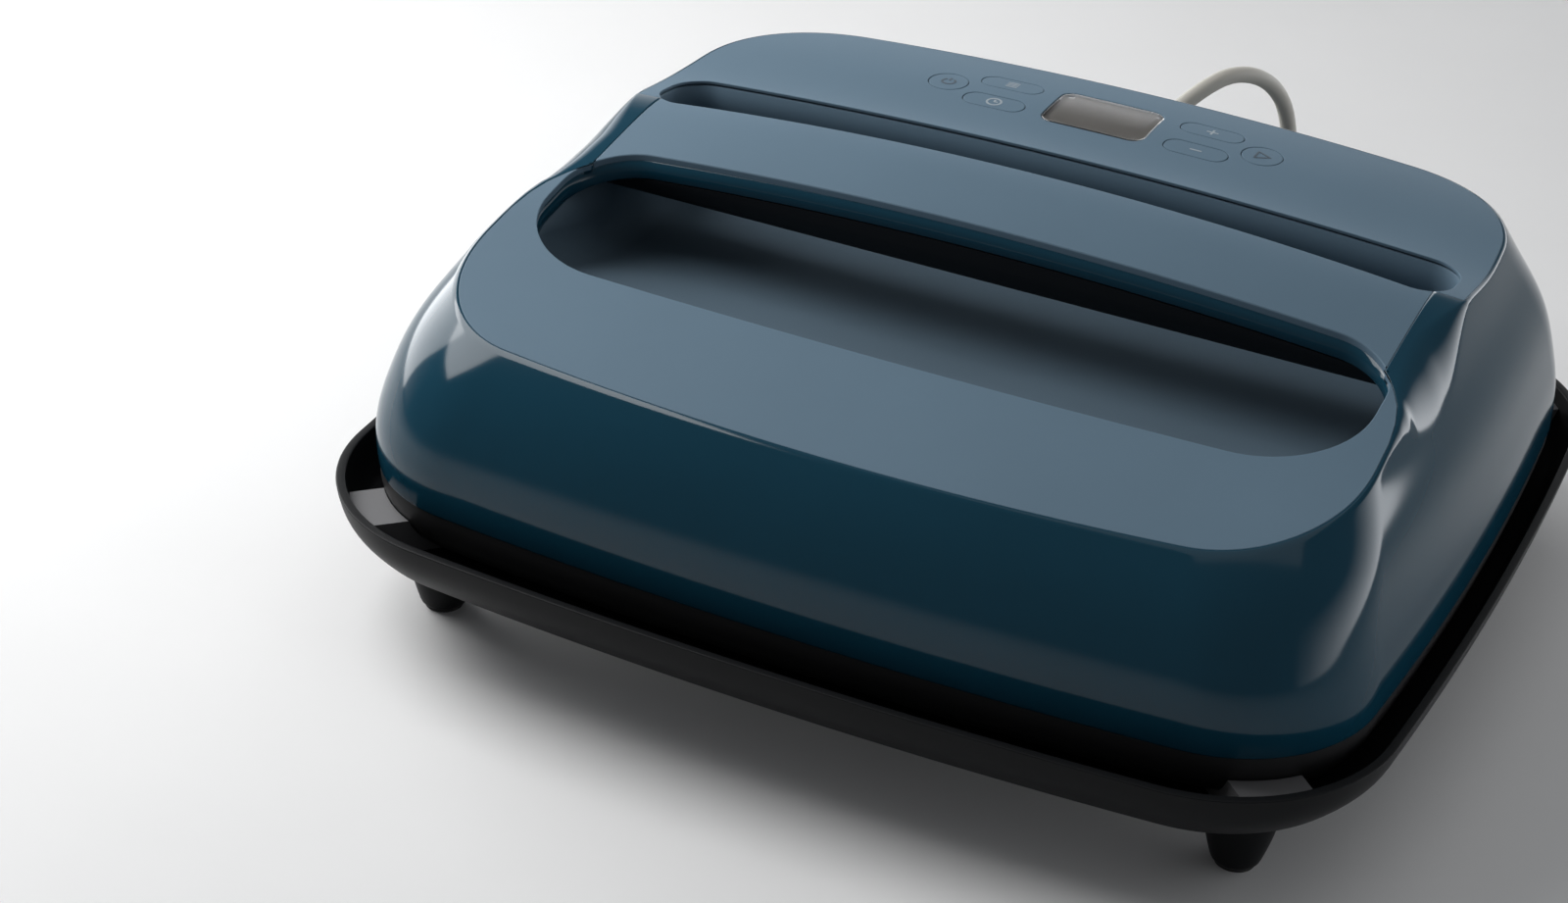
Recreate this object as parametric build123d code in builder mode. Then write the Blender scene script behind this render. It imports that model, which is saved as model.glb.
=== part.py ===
from build123d import *
import math
import os

os.makedirs("parts", exist_ok=True)

# A handheld heat press standing in its safety base.
# Millimetres. X is right, Y is back, Z is up. The origin is on the floor, under the middle of the base.

# Heights above the floor
foot_height = 28.0
plate_bottom = foot_height + 4.5
band_bottom = foot_height + 7.5
rim_height = foot_height + 19.2
parting_height = foot_height + 22.0

# Plan of the press at its parting line, bulged on all four sides
press_half_width = 170.6
press_half_depth = 146.2
side_sag = 6.9
front_sag = 9.4
corner_radius = 48.7

# Shell walls
shell_wall = 3.0
panel_thickness = 2.2
skin_thickness = 2.5
edge_rim = 1.0
lip_depth = 9.0
lip_thickness = 2.2
panel_gap = 0.1
top_rise = 120.0

# Side walls of the press: height above the parting line, then how far each side has drawn in
wall_heights = [0.0, 15.0, 30.0, 45.0, 60.0, 76.0, 92.0]
side_insets = [0.0, 0.3, 3.2, 7.8, 15.8, 22.8, 30.2]
front_insets = [0.0, -1.6, 2.0, 11.0, 27.0, 46.0, 65.0]
rear_insets = [0.0, 1.2, 3.6, 7.1, 13.1, 23.6, 37.5]

# Hand opening in front of the handle, and the groove behind it
opening_side = 29.6
opening_half_width = press_half_width - opening_side
hole_front = -77.2
hole_rear = -12.2
hole_radius = 22.0
groove_front = 22.8
groove_rear = 52.8
groove_radius = 12.0
cover_side = 4.0
cover_half_width = opening_half_width - cover_side
arm_overlap_front = 9.0
arm_overlap_rear = 3.0
front_panel_end = hole_rear - arm_overlap_front
rear_panel_start = groove_front + arm_overlap_rear

# Top of the press along its middle: distance back, height above the parting line, fall at the handle's ends
top_overhang = 12.0
front_crease_depth = 19.0
front_slope_depth = 43.0
rear_crease_depth = 26.4
top_depths = [
    -press_half_depth - top_overhang,
    -press_half_depth + front_crease_depth,
    -press_half_depth + front_slope_depth,
    hole_front,
    -44.2,
    hole_rear,
    4.8,
    groove_front,
    37.8,
    groove_rear,
    87.8,
    press_half_depth - rear_crease_depth,
    press_half_depth + top_overhang,
]
top_heights = [46.5, 52.5, 56.8, 61.0, 69.5, 79.8, 83.4, 85.0, 82.6, 79.3, 79.2, 77.0, 69.0]
top_falls = [0.0, 0.0, 0.0, 0.0, 2.0, 7.0, 8.0, 8.0, 7.0, 5.3, 5.0, 5.0, 5.0]
crown_overhang = 20.0
crown_reach = press_half_width + crown_overhang
crown_stations = [-crown_reach, -crown_reach / 2, 0.0, crown_reach / 2, crown_reach]

# Hand well and grip
well_wall = 2.0
well_radius = 20.0
well_depths = [hole_front, -53.2, -28.2, -3.2, 25.8, 43.8, groove_rear]
well_heights = [53.0, 46.0, 39.0, 35.0, 35.0, 41.0, 56.0]
grip_bottom = 57.0
grip_radius = 9.0
grip_gap = 0.2
grip_wall = 2.6
handle_middle = (hole_rear + groove_front) / 2
grip_screw_places = [(x, handle_middle) for x in (110.0, -110.0, 40.0, -40.0)]
well_run_out = 10.0

# Control panel: display and buttons
display_inset = 55.9
display_depth = press_half_depth - display_inset
display_width = 38.0
display_length = 27.0
display_corner = 5.0
window_thickness = 1.8
window_gap = 0.15
module_gap = 0.3
module_rim = 1.0
button_travel = 0.8
button_gap = 0.25
button_flange = 0.9
button_flange_thickness = 1.0
button_stem_radius = 2.5
flange_gap = 0.35
round_button_radius = 7.2
pill_length = 23.0
pill_width = 9.8
round_button_x = 57.8
pill_x = 37.0
pill_offset = 8.3
button_row_offset = -0.2
button_row = display_depth + button_row_offset

# Boards behind the control panel
board_thickness = 1.6
board_drop = 12.0
switch_size = 6.0
switch_height = 3.4
switch_plunger_height = 0.6
switch_plunger_radius = 1.75
board_corner = 3.0
board_width = 154.0
board_length = 36.0
board_pillar_radius = 2.5
board_pillar_x = 73.0
board_pillar_y = 12.5
board_pillar_places = [
    (x, display_depth + y)
    for y in (-board_pillar_y, board_pillar_y)
    for x in (board_pillar_x, -board_pillar_x)
]
window_margin_x = 3.1
window_margin_y = 2.4
panel_window_width = 2 * (round_button_x + round_button_radius + button_flange + window_margin_x)
panel_window_length = 2 * (pill_offset + pill_width / 2 + button_flange + window_margin_y)

# Heat plate stack
plate_side = 18.1
plate_front = 19.2
plate_half_width = press_half_width - plate_side
plate_half_depth = press_half_depth - plate_front
plate_sag = 8.0
plate_radius = 34.0
plate_thickness = 6.0
plate_gap = 1.2
plate_edge_radius = 1.5
element_height = 5.0
element_width = 7.0
element_side = 34.5
element_front = 35.0
element_half_width = plate_half_width - element_side
element_half_depth = plate_half_depth - element_front
element_radius = 30.0
insulation_thickness = 8.0
shield_thickness = 0.8
post_radius = 4.0
post_inset_x = 18.0
post_inset_y = 16.0
post_x = element_half_width - post_inset_x
post_y = element_half_depth - post_inset_y
post_places = [(post_x, post_y), (-post_x, post_y), (post_x, -post_y), (-post_x, -post_y)]
insulation_side = 14.5
insulation_front = 15.0
insulation_half_width = plate_half_width - insulation_side
insulation_half_depth = plate_half_depth - insulation_front
shield_side = 6.5
shield_front = 9.0
shield_half_width = plate_half_width - shield_side
shield_half_depth = plate_half_depth - shield_front
cutout_place = (40.0, -60.0)
cutout_radius = 8.0
cutout_height = 9.0
sensor_place = (-40.0, -50.0)
sensor_radius = 2.4
sensor_length = 22.0
power_board_width = 170.0
power_board_length = 96.0
power_board_lift = 5.0
power_board_margin = 10.0
power_post_radius = 3.0
relay_place = (-45.0, 5.0)
relay_size = (29.0, 22.0, 16.0)
terminal_place = (50.0, 28.0)
terminal_size = (32.0, 13.0, 13.0)
pillar_radius = 4.0
pillar_inset_rear = (21.0, 23.0)
pillar_inset_front = (26.0, 26.0)
rear_pillar_x = shield_half_width - pillar_inset_rear[0]
rear_pillar_y = shield_half_depth - pillar_inset_rear[1]
front_pillar_x = shield_half_width - pillar_inset_front[0]
front_pillar_y = shield_half_depth - pillar_inset_front[1]
shield_pillar_places = [
    (rear_pillar_x, rear_pillar_y),
    (-rear_pillar_x, rear_pillar_y),
    (front_pillar_x, -front_pillar_y),
    (-front_pillar_x, -front_pillar_y),
]

# Lower band
band_wall = 3.0
band_flange = 2.5
band_insets = [0.4, 1.0, 5.0]
band_middle = foot_height + 15.0
seam_gap = 0.1

# Base tray
rim_side = 9.7
rim_front = 16.8
rim_half_width = press_half_width + rim_side
rim_half_depth = press_half_depth + rim_front
rim_side_sag = 11.7
rim_front_sag = 10.3
rim_radius = 50.0
tray_wall = 3.0
tray_floor = 2.5
tray_insets = [10.0, 3.0, 0.0]
tray_middle = foot_height + 9.0
rest_inset_x = 38.3
rest_inset_y = 37.8
rest_x = rim_half_width - rest_inset_x
rest_y = rim_half_depth - rest_inset_y
rest_length = 22.0
rest_width = 44.0
rest_corner = 3.0
rest_height = 11.5
rest_gap = 0.3
rest_clear = 2.5
foot_inset_x = 42.9
foot_inset_y = 47.4
foot_x = rim_half_width - foot_inset_x
foot_y = rim_half_depth - foot_inset_y
foot_top_radius = 12.5
foot_waist_radius = 10.4
foot_waist_height = 12.0
foot_end_radius = 7.4
foot_pad_radius = 6.2
foot_pad_height = 1.5
foot_screw_reach = 12.0

# Screws
screw_radius = 1.6
screw_head_radius = 3.0
screw_head_height = 1.3
screw_gap = 0.1
screw_length = 14.0
boss_radius = 3.6
shell_screw_side = 2.7
shell_screw_x = plate_half_width + shell_screw_side
shell_screw_places = [(x, y) for y in (60.0, -60.0) for x in (shell_screw_x, -shell_screw_x)]

# Mains cord
cord_radius = 3.0
strain_length = 34.0
strain_base_radius = 6.0
strain_tip_radius = 4.2
strain_gap = 0.3
tie_thickness = 1.0
tie_width = 6.0
tie_gap = 0.3
tie_corner = 3.0
coil_pitch = 6.6
coil_outer_radius = 45.5
coil_half_turns = 7
coil_centre = (-7.9, 255.8)
coil_tail = 36.0
plug_length = 36.0
plug_width = 26.0
pin_length = 16.0
plug_taper = 3.0
plug_corner = 6.0
blade_spread = 12.7
blade_thickness = 1.5
blade_width = 6.3
earth_drop = 6.5
earth_radius = 2.4

# Middle line of the cord from the strain relief to the coil
lower_layer = tie_thickness + tie_gap + cord_radius
cord_end_x = coil_centre[0] + coil_outer_radius
cord_end_y = coil_centre[1] - 2 * cord_radius
cord_route = [
    (7.5, 148.8, parting_height + 61.5),
    (14.9, 161.8, parting_height + 69.5),
    (23.3, 176.6, parting_height + 69.2),
    (30.6, 189.4, parting_height + 60.7),
    (35.0, 197.0, parting_height + 46.1),
    (36.5, 200.3, parting_height + 22.0),
    (37.2, 202.8, parting_height),
    (37.5, 207.8, lower_layer + 25.7),
    (cord_end_x, cord_end_y - 31.0, lower_layer + 8.2),
    (cord_end_x, cord_end_y - 16.0, lower_layer),
    (cord_end_x, cord_end_y, lower_layer),
]


cord_exit = Vector(*cord_route[0])
exit_way = (Vector(*cord_route[1]) - cord_exit).normalized()


def strain_cone(margin):
    """Tapered solid of the strain relief, wider by a margin."""
    with BuildPart() as cone:
        with BuildSketch(Plane(origin=cord_exit, z_dir=exit_way)):
            Circle(strain_tip_radius + margin)
        with BuildSketch(Plane(origin=cord_exit - exit_way * (strain_length + margin), z_dir=exit_way)):
            Circle(strain_base_radius + margin)
        loft()
    return cone.part


def bulged_outline(half_width, front, rear, sag_x, sag_y, radius):
    """Rounded rectangle whose four sides are shallow arcs; used inside a sketch."""
    left, right = -half_width + sag_x, half_width - sag_x
    low, high = -front + sag_y, rear - sag_y
    middle = (rear - front) / 2
    with BuildLine() as outline:
        ThreePointArc((left, low), (0, -front), (right, low))
        ThreePointArc((right, low), (half_width, middle), (right, high))
        ThreePointArc((right, high), (0, rear), (left, high))
        ThreePointArc((left, high), (-half_width, middle), (left, low))
    face = make_face(outline.edges())
    fillet(face.vertices(), radius)


def press_block(inset):
    """Solid between the side walls of the press, drawn in by an inset all round."""
    with BuildPart() as block:
        for height, side, front, rear in zip(wall_heights, side_insets, front_insets, rear_insets):
            with BuildSketch(Plane.XY.offset(parting_height + height)):
                bulged_outline(
                    press_half_width - side - inset,
                    press_half_depth - front - inset,
                    press_half_depth - rear - inset,
                    side_sag,
                    front_sag,
                    corner_radius - inset,
                )
        loft()
    return block.part


def top_height(x, y):
    """Height of the finished top surface above the floor."""
    for i in range(len(top_depths) - 1):
        if top_depths[i] <= y <= top_depths[i + 1]:
            share = (y - top_depths[i]) / (top_depths[i + 1] - top_depths[i])
            height = top_heights[i] + share * (top_heights[i + 1] - top_heights[i])
            fall = top_falls[i] + share * (top_falls[i + 1] - top_falls[i])
            return parting_height + height - fall * (x / opening_half_width) ** 2


def under_top(drop):
    """Everything that lies below the top surface lowered by a drop."""
    with BuildPart() as block:
        for x in crown_stations:
            crown = (x / opening_half_width) ** 2
            points = [
                (y, parting_height + height - fall * crown - drop)
                for y, height, fall in zip(top_depths, top_heights, top_falls)
            ]
            with BuildSketch(Plane.YZ.offset(x)):
                with BuildLine():
                    Spline(*points)
                    Polyline(points[-1], (points[-1][0], 0), (points[0][0], 0), points[0])
                make_face()
        loft()
    return block.part


def slot_block(half_width, front, rear, radius):
    """Upright block with rounded corners, from front to rear."""
    with BuildPart() as block:
        with BuildSketch():
            with Locations((0, (front + rear) / 2)):
                RectangleRounded(2 * half_width, rear - front, radius)
        extrude(amount=2 * top_rise)
    return block.part


outer_block = press_block(0)
rim_block = press_block(edge_rim)
inner_block = press_block(shell_wall)
top_block = under_top(0)
seat_block = under_top(panel_thickness)
skin_block = under_top(panel_thickness + skin_thickness)
lip_block = under_top(lip_depth)
cover_rim_block = press_block(edge_rim + panel_gap)
cover_seat_block = under_top(panel_thickness - panel_gap)
window_seat_block = under_top(window_thickness)
well_skin_block = under_top(panel_thickness + skin_thickness + panel_gap)
well_lip_block = under_top(lip_depth + panel_gap)
grip_lip_block = under_top(lip_depth + grip_gap)

hole_block = slot_block(opening_half_width, hole_front, hole_rear, hole_radius)
groove_block = slot_block(opening_half_width, groove_front, groove_rear, groove_radius)
hole_lip = slot_block(
    opening_half_width + lip_thickness,
    hole_front - lip_thickness,
    hole_rear + lip_thickness,
    hole_radius + lip_thickness,
)
groove_lip = slot_block(
    opening_half_width + lip_thickness,
    groove_front - lip_thickness,
    groove_rear + lip_thickness,
    groove_radius + lip_thickness,
)

# The layer that the matte covers fill, and the space cut for each of them
with BuildPart() as cover_layer:
    add(rim_block)
    add(seat_block, mode=Mode.SUBTRACT)


def layer_between(front, rear, half_width):
    """Slice of the cover layer between two depths."""
    with BuildPart() as bed:
        with Locations((0, (front + rear) / 2, 2 * parting_height)):
            Box(2 * half_width, rear - front, 4 * parting_height)
        add(cover_layer.part, mode=Mode.INTERSECT)
    return bed


front_bed = layer_between(-press_half_depth, front_panel_end, press_half_width)
handle_bed = layer_between(front_panel_end, rear_panel_start, cover_half_width)
rear_bed = layer_between(rear_panel_start, press_half_depth, press_half_width)


# What is taken out of the shell: its hollow, less the lips and pillars that stay inside it
with BuildPart() as lips:
    add(hole_lip)
    add(groove_lip)
    add(lip_block, mode=Mode.SUBTRACT)
    with Locations((0, hole_front, parting_height + top_heights[-1])):
        Box(3 * opening_half_width, 2 * lip_depth, 4 * parting_height, mode=Mode.SUBTRACT)

shield_top = plate_bottom + plate_thickness + element_height + insulation_thickness + shield_thickness
board_top = top_height(0, display_depth) - board_drop

with BuildPart() as pillars:
    with BuildSketch(Plane.XY.offset(band_bottom + band_flange)):
        with Locations(*shell_screw_places):
            Circle(boss_radius)
    extrude(amount=top_rise)
    with BuildSketch(Plane.XY.offset(shield_top)):
        with Locations(*shield_pillar_places):
            Circle(pillar_radius)
    extrude(amount=top_rise)
    with BuildSketch(Plane.XY.offset(board_top)):
        with Locations(*board_pillar_places):
            Circle(board_pillar_radius)
    extrude(amount=top_rise)
    with BuildSketch(Plane.XY.offset(parting_height + grip_bottom + grip_wall)):
        with Locations(*grip_screw_places):
            Circle(boss_radius)
    extrude(amount=top_rise)

with BuildPart() as shell_void:
    add(inner_block)
    add(skin_block, mode=Mode.INTERSECT)
    add(lips.part, mode=Mode.SUBTRACT)
    add(pillars.part, mode=Mode.SUBTRACT)

with BuildPart() as low_pillars:
    with BuildSketch(Plane.XY.offset(band_bottom + band_flange)):
        with Locations(*shell_screw_places):
            Circle(boss_radius)
    extrude(amount=parting_height - band_bottom - band_flange)

with BuildPart() as upper_shell:
    add(outer_block)
    add(top_block, mode=Mode.INTERSECT)
    add(shell_void.part, mode=Mode.SUBTRACT)
    add(low_pillars.part)
    add(hole_block, mode=Mode.SUBTRACT)
    add(groove_block, mode=Mode.SUBTRACT)
    # Beds for the three matte covers
    add(front_bed.part, mode=Mode.SUBTRACT)
    add(handle_bed.part, mode=Mode.SUBTRACT)
    add(rear_bed.part, mode=Mode.SUBTRACT)
    # Way through the rear wall for the strain relief
    add(strain_cone(strain_gap), mode=Mode.SUBTRACT)
    # Way through the skin for the display and the buttons
    with BuildSketch(Plane.XY.offset(board_top)):
        with Locations((0, display_depth)):
            RectangleRounded(panel_window_width, panel_window_length, display_corner)
    extrude(amount=top_rise, mode=Mode.SUBTRACT)
    # Blind holes for the screws that hold the band
    with BuildSketch(Plane.XY.offset(band_bottom)):
        with Locations(*shell_screw_places):
            Circle(screw_radius)
    extrude(amount=screw_length + band_flange, mode=Mode.SUBTRACT)
    with BuildSketch(Plane.XY.offset(parting_height + grip_bottom)):
        with Locations(*grip_screw_places):
            Circle(screw_radius)
    extrude(amount=screw_length + band_flange, mode=Mode.SUBTRACT)
upper_shell.part.label = "upper_shell"
export_step(upper_shell.part, "parts/upper_shell.step")

# Matte covers
with BuildPart() as cover_sheet:
    add(cover_rim_block)
    add(top_block, mode=Mode.INTERSECT)
    add(cover_seat_block, mode=Mode.SUBTRACT)
    add(hole_block, mode=Mode.SUBTRACT)
    add(groove_block, mode=Mode.SUBTRACT)

with BuildPart() as front_panel:
    with Locations((0, front_panel_end - press_half_depth / 2 - panel_gap, top_rise)):
        Box(2 * press_half_width, press_half_depth, 2 * top_rise)
    add(cover_sheet.part, mode=Mode.INTERSECT)
front_panel.part.label = "front_panel"
export_step(front_panel.part, "parts/front_panel.step")

with BuildPart() as handle_cover:
    with Locations((0, (front_panel_end + rear_panel_start) / 2, top_rise)):
        Box(
            2 * (cover_half_width - panel_gap),
            rear_panel_start - front_panel_end - 2 * panel_gap,
            2 * top_rise,
        )
    add(cover_sheet.part, mode=Mode.INTERSECT)
handle_cover.part.label = "handle_cover"
export_step(handle_cover.part, "parts/handle_cover.step")

button_places = {
    "power_button": (-round_button_x, button_row),
    "menu_button": (-pill_x, button_row + pill_offset),
    "timer_button": (-pill_x, button_row - pill_offset),
    "plus_button": (pill_x, button_row + pill_offset),
    "minus_button": (pill_x, button_row - pill_offset),
    "start_button": (round_button_x, button_row),
}
round_buttons = ["power_button", "start_button"]


def button_outline(name, margin):
    """Circle or pill of one button, wider by a margin all round; used inside a sketch."""
    with Locations(button_places[name]):
        if name in round_buttons:
            Circle(round_button_radius + margin)
        else:
            SlotOverall(pill_length + 2 * margin, pill_width + 2 * margin)


with BuildPart() as control_panel:
    with Locations((0, rear_panel_start + press_half_depth / 2 + panel_gap, top_rise)):
        Box(2 * press_half_width, press_half_depth, 2 * top_rise)
    add(cover_sheet.part, mode=Mode.INTERSECT)
    with BuildSketch(Plane.XY.offset(board_top)):
        with Locations((0, display_depth)):
            RectangleRounded(display_width, display_length, display_corner)
        for name in button_places:
            button_outline(name, 0)
    extrude(amount=top_rise, mode=Mode.SUBTRACT)
control_panel.part.label = "control_panel"
export_step(control_panel.part, "parts/control_panel.step")

# Display
with BuildPart() as display_window:
    with BuildSketch(Plane.XY.offset(board_top)):
        with Locations((0, display_depth)):
            RectangleRounded(
                display_width - 2 * window_gap,
                display_length - 2 * window_gap,
                display_corner - window_gap,
            )
    extrude(amount=top_rise)
    add(top_block, mode=Mode.INTERSECT)
    add(window_seat_block, mode=Mode.SUBTRACT)
display_window.part.label = "display_window"
export_step(display_window.part, "parts/display_window.step")

module_top = top_height(display_width / 2, display_depth + display_length / 2) - panel_thickness - module_gap
with BuildPart() as display_module:
    with BuildSketch(Plane.XY.offset(board_top)):
        with Locations((0, display_depth)):
            RectangleRounded(display_width + 2 * module_rim, display_length + 2 * module_rim, module_rim)
    extrude(amount=module_top - board_top)
display_module.part.label = "display_module"
export_step(display_module.part, "parts/display_module.step")

# Buttons: a cap flush with the panel, a flange under the panel and a stem over its switch
switch_top = board_top + switch_height
for name, (x, y) in button_places.items():
    reach = round_button_radius if name in round_buttons else pill_length / 2
    flange_top = top_height(abs(x) + reach, y + pill_width) - panel_thickness - flange_gap
    with BuildPart() as button:
        with BuildSketch(Plane.XY.offset(flange_top)):
            button_outline(name, -button_gap)
        extrude(amount=top_rise)
        add(top_block, mode=Mode.INTERSECT)
        with BuildSketch(Plane.XY.offset(flange_top)):
            button_outline(name, button_flange)
        extrude(amount=-button_flange_thickness)
        with BuildSketch(Plane.XY.offset(switch_top + button_travel + panel_gap)):
            with Locations((x, y)):
                Circle(button_stem_radius)
        extrude(until=Until.NEXT)
    button.part.label = name
    export_step(button.part, "parts/" + name + ".step")

with BuildPart() as tact_switches:
    with BuildSketch(Plane.XY.offset(board_top)):
        with Locations(*button_places.values()):
            Rectangle(switch_size, switch_size)
    extrude(amount=switch_height - switch_plunger_height)
    with BuildSketch(Plane.XY.offset(switch_top - switch_plunger_height)):
        with Locations(*button_places.values()):
            Circle(switch_plunger_radius)
    extrude(amount=switch_plunger_height)
tact_switches.part.label = "tact_switches"
export_step(tact_switches.part, "parts/tact_switches.step")

with BuildPart() as control_board:
    with BuildSketch(Plane.XY.offset(board_top - board_thickness)):
        with Locations((0, display_depth)):
            RectangleRounded(board_width, board_length, board_corner)
    extrude(amount=board_thickness)
control_board.part.label = "control_board"
export_step(control_board.part, "parts/control_board.step")


# Hand well: a basin under the opening, the handle and the groove
def under_well_floor(drop):
    """Everything below the well's floor lowered by a drop."""
    points = [(y, parting_height + height - drop) for y, height in zip(well_depths, well_heights)]
    front, rear = points[0], points[-1]
    with BuildPart() as block:
        with BuildSketch(Plane.YZ.offset(-press_half_width)):
            with BuildLine():
                Spline(*points)
                Polyline(
                    rear,
                    (rear[0] + well_run_out, rear[1]),
                    (rear[0] + well_run_out, 0),
                    (front[0] - well_run_out, 0),
                    (front[0] - well_run_out, front[1]),
                    front,
                )
            make_face()
        extrude(amount=2 * press_half_width)
    return block.part


well_outside = slot_block(
    opening_half_width + well_wall, hole_front - well_wall, groove_rear + well_wall, well_radius + well_wall
)
well_inside = slot_block(opening_half_width, hole_front, groove_rear, well_radius)
with BuildPart() as hand_space:
    add(well_inside)
    add(under_well_floor(0), mode=Mode.SUBTRACT)
with BuildPart() as above_lips:
    with Locations((0, hole_front + lip_depth + press_half_depth, top_rise)):
        Box(2 * press_half_width, 2 * press_half_depth, 2 * top_rise)
    add(well_lip_block, mode=Mode.SUBTRACT)
with BuildPart() as hand_well:
    add(well_outside)
    add(well_skin_block, mode=Mode.INTERSECT)
    add(above_lips.part, mode=Mode.SUBTRACT)
    add(under_well_floor(well_wall), mode=Mode.SUBTRACT)
    add(hand_space.part, mode=Mode.SUBTRACT)
hand_well.part.label = "hand_well"
export_step(hand_well.part, "parts/hand_well.step")

# Handle grip: a rounded channel that closes the handle from below
grip_floor = parting_height + grip_bottom
handle_depth = groove_front - hole_rear
with BuildPart() as handle_grip:
    with BuildSketch(Plane.YZ.offset(-opening_half_width + grip_gap)):
        with Locations((handle_middle, grip_floor + handle_depth / 2)):
            RectangleRounded(handle_depth, handle_depth, grip_radius)
    extrude(amount=2 * (opening_half_width - grip_gap))
    add(grip_lip_block, mode=Mode.INTERSECT)
    with BuildSketch(Plane.YZ.offset(-opening_half_width + grip_gap + grip_wall)):
        with Locations((handle_middle, grip_floor + handle_depth / 2)):
            RectangleRounded(
                handle_depth - 2 * grip_wall, handle_depth - 2 * grip_wall, grip_radius - grip_wall
            )
    extrude(amount=2 * (opening_half_width - grip_gap - grip_wall), mode=Mode.SUBTRACT)
    with BuildSketch(Plane.XY.offset(grip_floor)):
        with Locations(*grip_screw_places):
            Circle(screw_radius)
    extrude(amount=grip_wall, mode=Mode.SUBTRACT)
    with BuildSketch(Plane.XY.offset(grip_floor)):
        with Locations(*grip_screw_places):
            Circle(screw_head_radius)
    extrude(amount=screw_head_height, mode=Mode.SUBTRACT)
handle_grip.part.label = "handle_grip"
export_step(handle_grip.part, "parts/handle_grip.step")

with BuildPart() as handle_screws:
    with BuildSketch(Plane.XY.offset(grip_floor)):
        with Locations(*grip_screw_places):
            Circle(screw_head_radius - screw_gap)
    extrude(amount=screw_head_height)
    with BuildSketch(Plane.XY.offset(grip_floor + screw_head_height)):
        with Locations(*grip_screw_places):
            Circle(screw_radius - screw_gap)
    extrude(amount=screw_length - screw_head_height)
handle_screws.part.label = "handle_screws"
export_step(handle_screws.part, "parts/handle_screws.step")


# Lower band with its flange round the heat plate
def band_block(margin, heights, insets):
    """Solid inside the band's outline, drawn in by a margin."""
    with BuildPart() as block:
        for height, inset in zip(heights, insets):
            with BuildSketch(Plane.XY.offset(height)):
                bulged_outline(
                    press_half_width - inset - margin,
                    press_half_depth - inset - margin,
                    press_half_depth - inset - margin,
                    side_sag,
                    front_sag,
                    corner_radius - inset - margin,
                )
        loft()
    return block.part


with BuildPart() as plate_space:
    with BuildSketch(Plane.XY.offset(band_bottom)):
        bulged_outline(
            plate_half_width + plate_gap,
            plate_half_depth + plate_gap,
            plate_half_depth + plate_gap,
            plate_sag,
            plate_sag,
            plate_radius + plate_gap,
        )
    extrude(amount=band_flange)

band_inside_heights = [parting_height, band_middle, band_bottom + band_flange]
with BuildPart() as lower_band:
    add(band_block(0, [parting_height - seam_gap, band_middle, band_bottom], band_insets))
    add(band_block(band_wall, band_inside_heights, band_insets), mode=Mode.SUBTRACT)
    add(plate_space.part, mode=Mode.SUBTRACT)
    with BuildSketch(Plane.XY.offset(band_bottom)):
        with Locations(*shell_screw_places):
            Circle(screw_radius)
    extrude(amount=band_flange, mode=Mode.SUBTRACT)
    with BuildSketch(Plane.XY.offset(band_bottom)):
        with Locations(*shell_screw_places):
            Circle(screw_head_radius)
    extrude(amount=screw_head_height, mode=Mode.SUBTRACT)
lower_band.part.label = "lower_band"
export_step(lower_band.part, "parts/lower_band.step")

with BuildPart() as shell_screws:
    with BuildSketch(Plane.XY.offset(band_bottom)):
        with Locations(*shell_screw_places):
            Circle(screw_head_radius - screw_gap)
    extrude(amount=screw_head_height)
    with BuildSketch(Plane.XY.offset(band_bottom + screw_head_height)):
        with Locations(*shell_screw_places):
            Circle(screw_radius - screw_gap)
    extrude(amount=screw_length - screw_head_height)
shell_screws.part.label = "shell_screws"
export_step(shell_screws.part, "parts/shell_screws.step")

# Heat plate and what lies on its back
plate_top = plate_bottom + plate_thickness
insulation_bottom = plate_top + element_height
shield_bottom = insulation_bottom + insulation_thickness

with BuildPart() as heat_plate:
    with BuildSketch(Plane.XY.offset(plate_bottom)):
        bulged_outline(
            plate_half_width, plate_half_depth, plate_half_depth, plate_sag, plate_sag, plate_radius
        )
    extrude(amount=plate_thickness)
    fillet(heat_plate.faces().sort_by(Axis.Z)[0].edges(), plate_edge_radius)
heat_plate.part.label = "heat_plate"
export_step(heat_plate.part, "parts/heat_plate.step")

with BuildPart() as heating_element:
    with BuildSketch(Plane.XY.offset(plate_top)):
        RectangleRounded(
            2 * element_half_width + element_width,
            2 * element_half_depth + element_width,
            element_radius + element_width / 2,
        )
        RectangleRounded(
            2 * element_half_width - element_width,
            2 * element_half_depth - element_width,
            element_radius - element_width / 2,
            mode=Mode.SUBTRACT,
        )
    extrude(amount=element_height)
    fillet(heating_element.faces().sort_by(Axis.Z)[-1].edges(), element_height / 4)
heating_element.part.label = "heating_element"
export_step(heating_element.part, "parts/heating_element.step")

with BuildPart() as insulation_board:
    with BuildSketch(Plane.XY.offset(insulation_bottom)):
        RectangleRounded(2 * insulation_half_width, 2 * insulation_half_depth, element_radius)
        with Locations(*post_places):
            Circle(post_radius + plate_gap, mode=Mode.SUBTRACT)
        with Locations(cutout_place):
            Circle(cutout_radius + plate_gap, mode=Mode.SUBTRACT)
    extrude(amount=insulation_thickness)
insulation_board.part.label = "insulation_board"
export_step(insulation_board.part, "parts/insulation_board.step")

with BuildPart() as heat_shield:
    with BuildSketch(Plane.XY.offset(shield_bottom)):
        RectangleRounded(2 * shield_half_width, 2 * shield_half_depth, plate_radius)
    extrude(amount=shield_thickness)
heat_shield.part.label = "heat_shield"
export_step(heat_shield.part, "parts/heat_shield.step")

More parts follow.
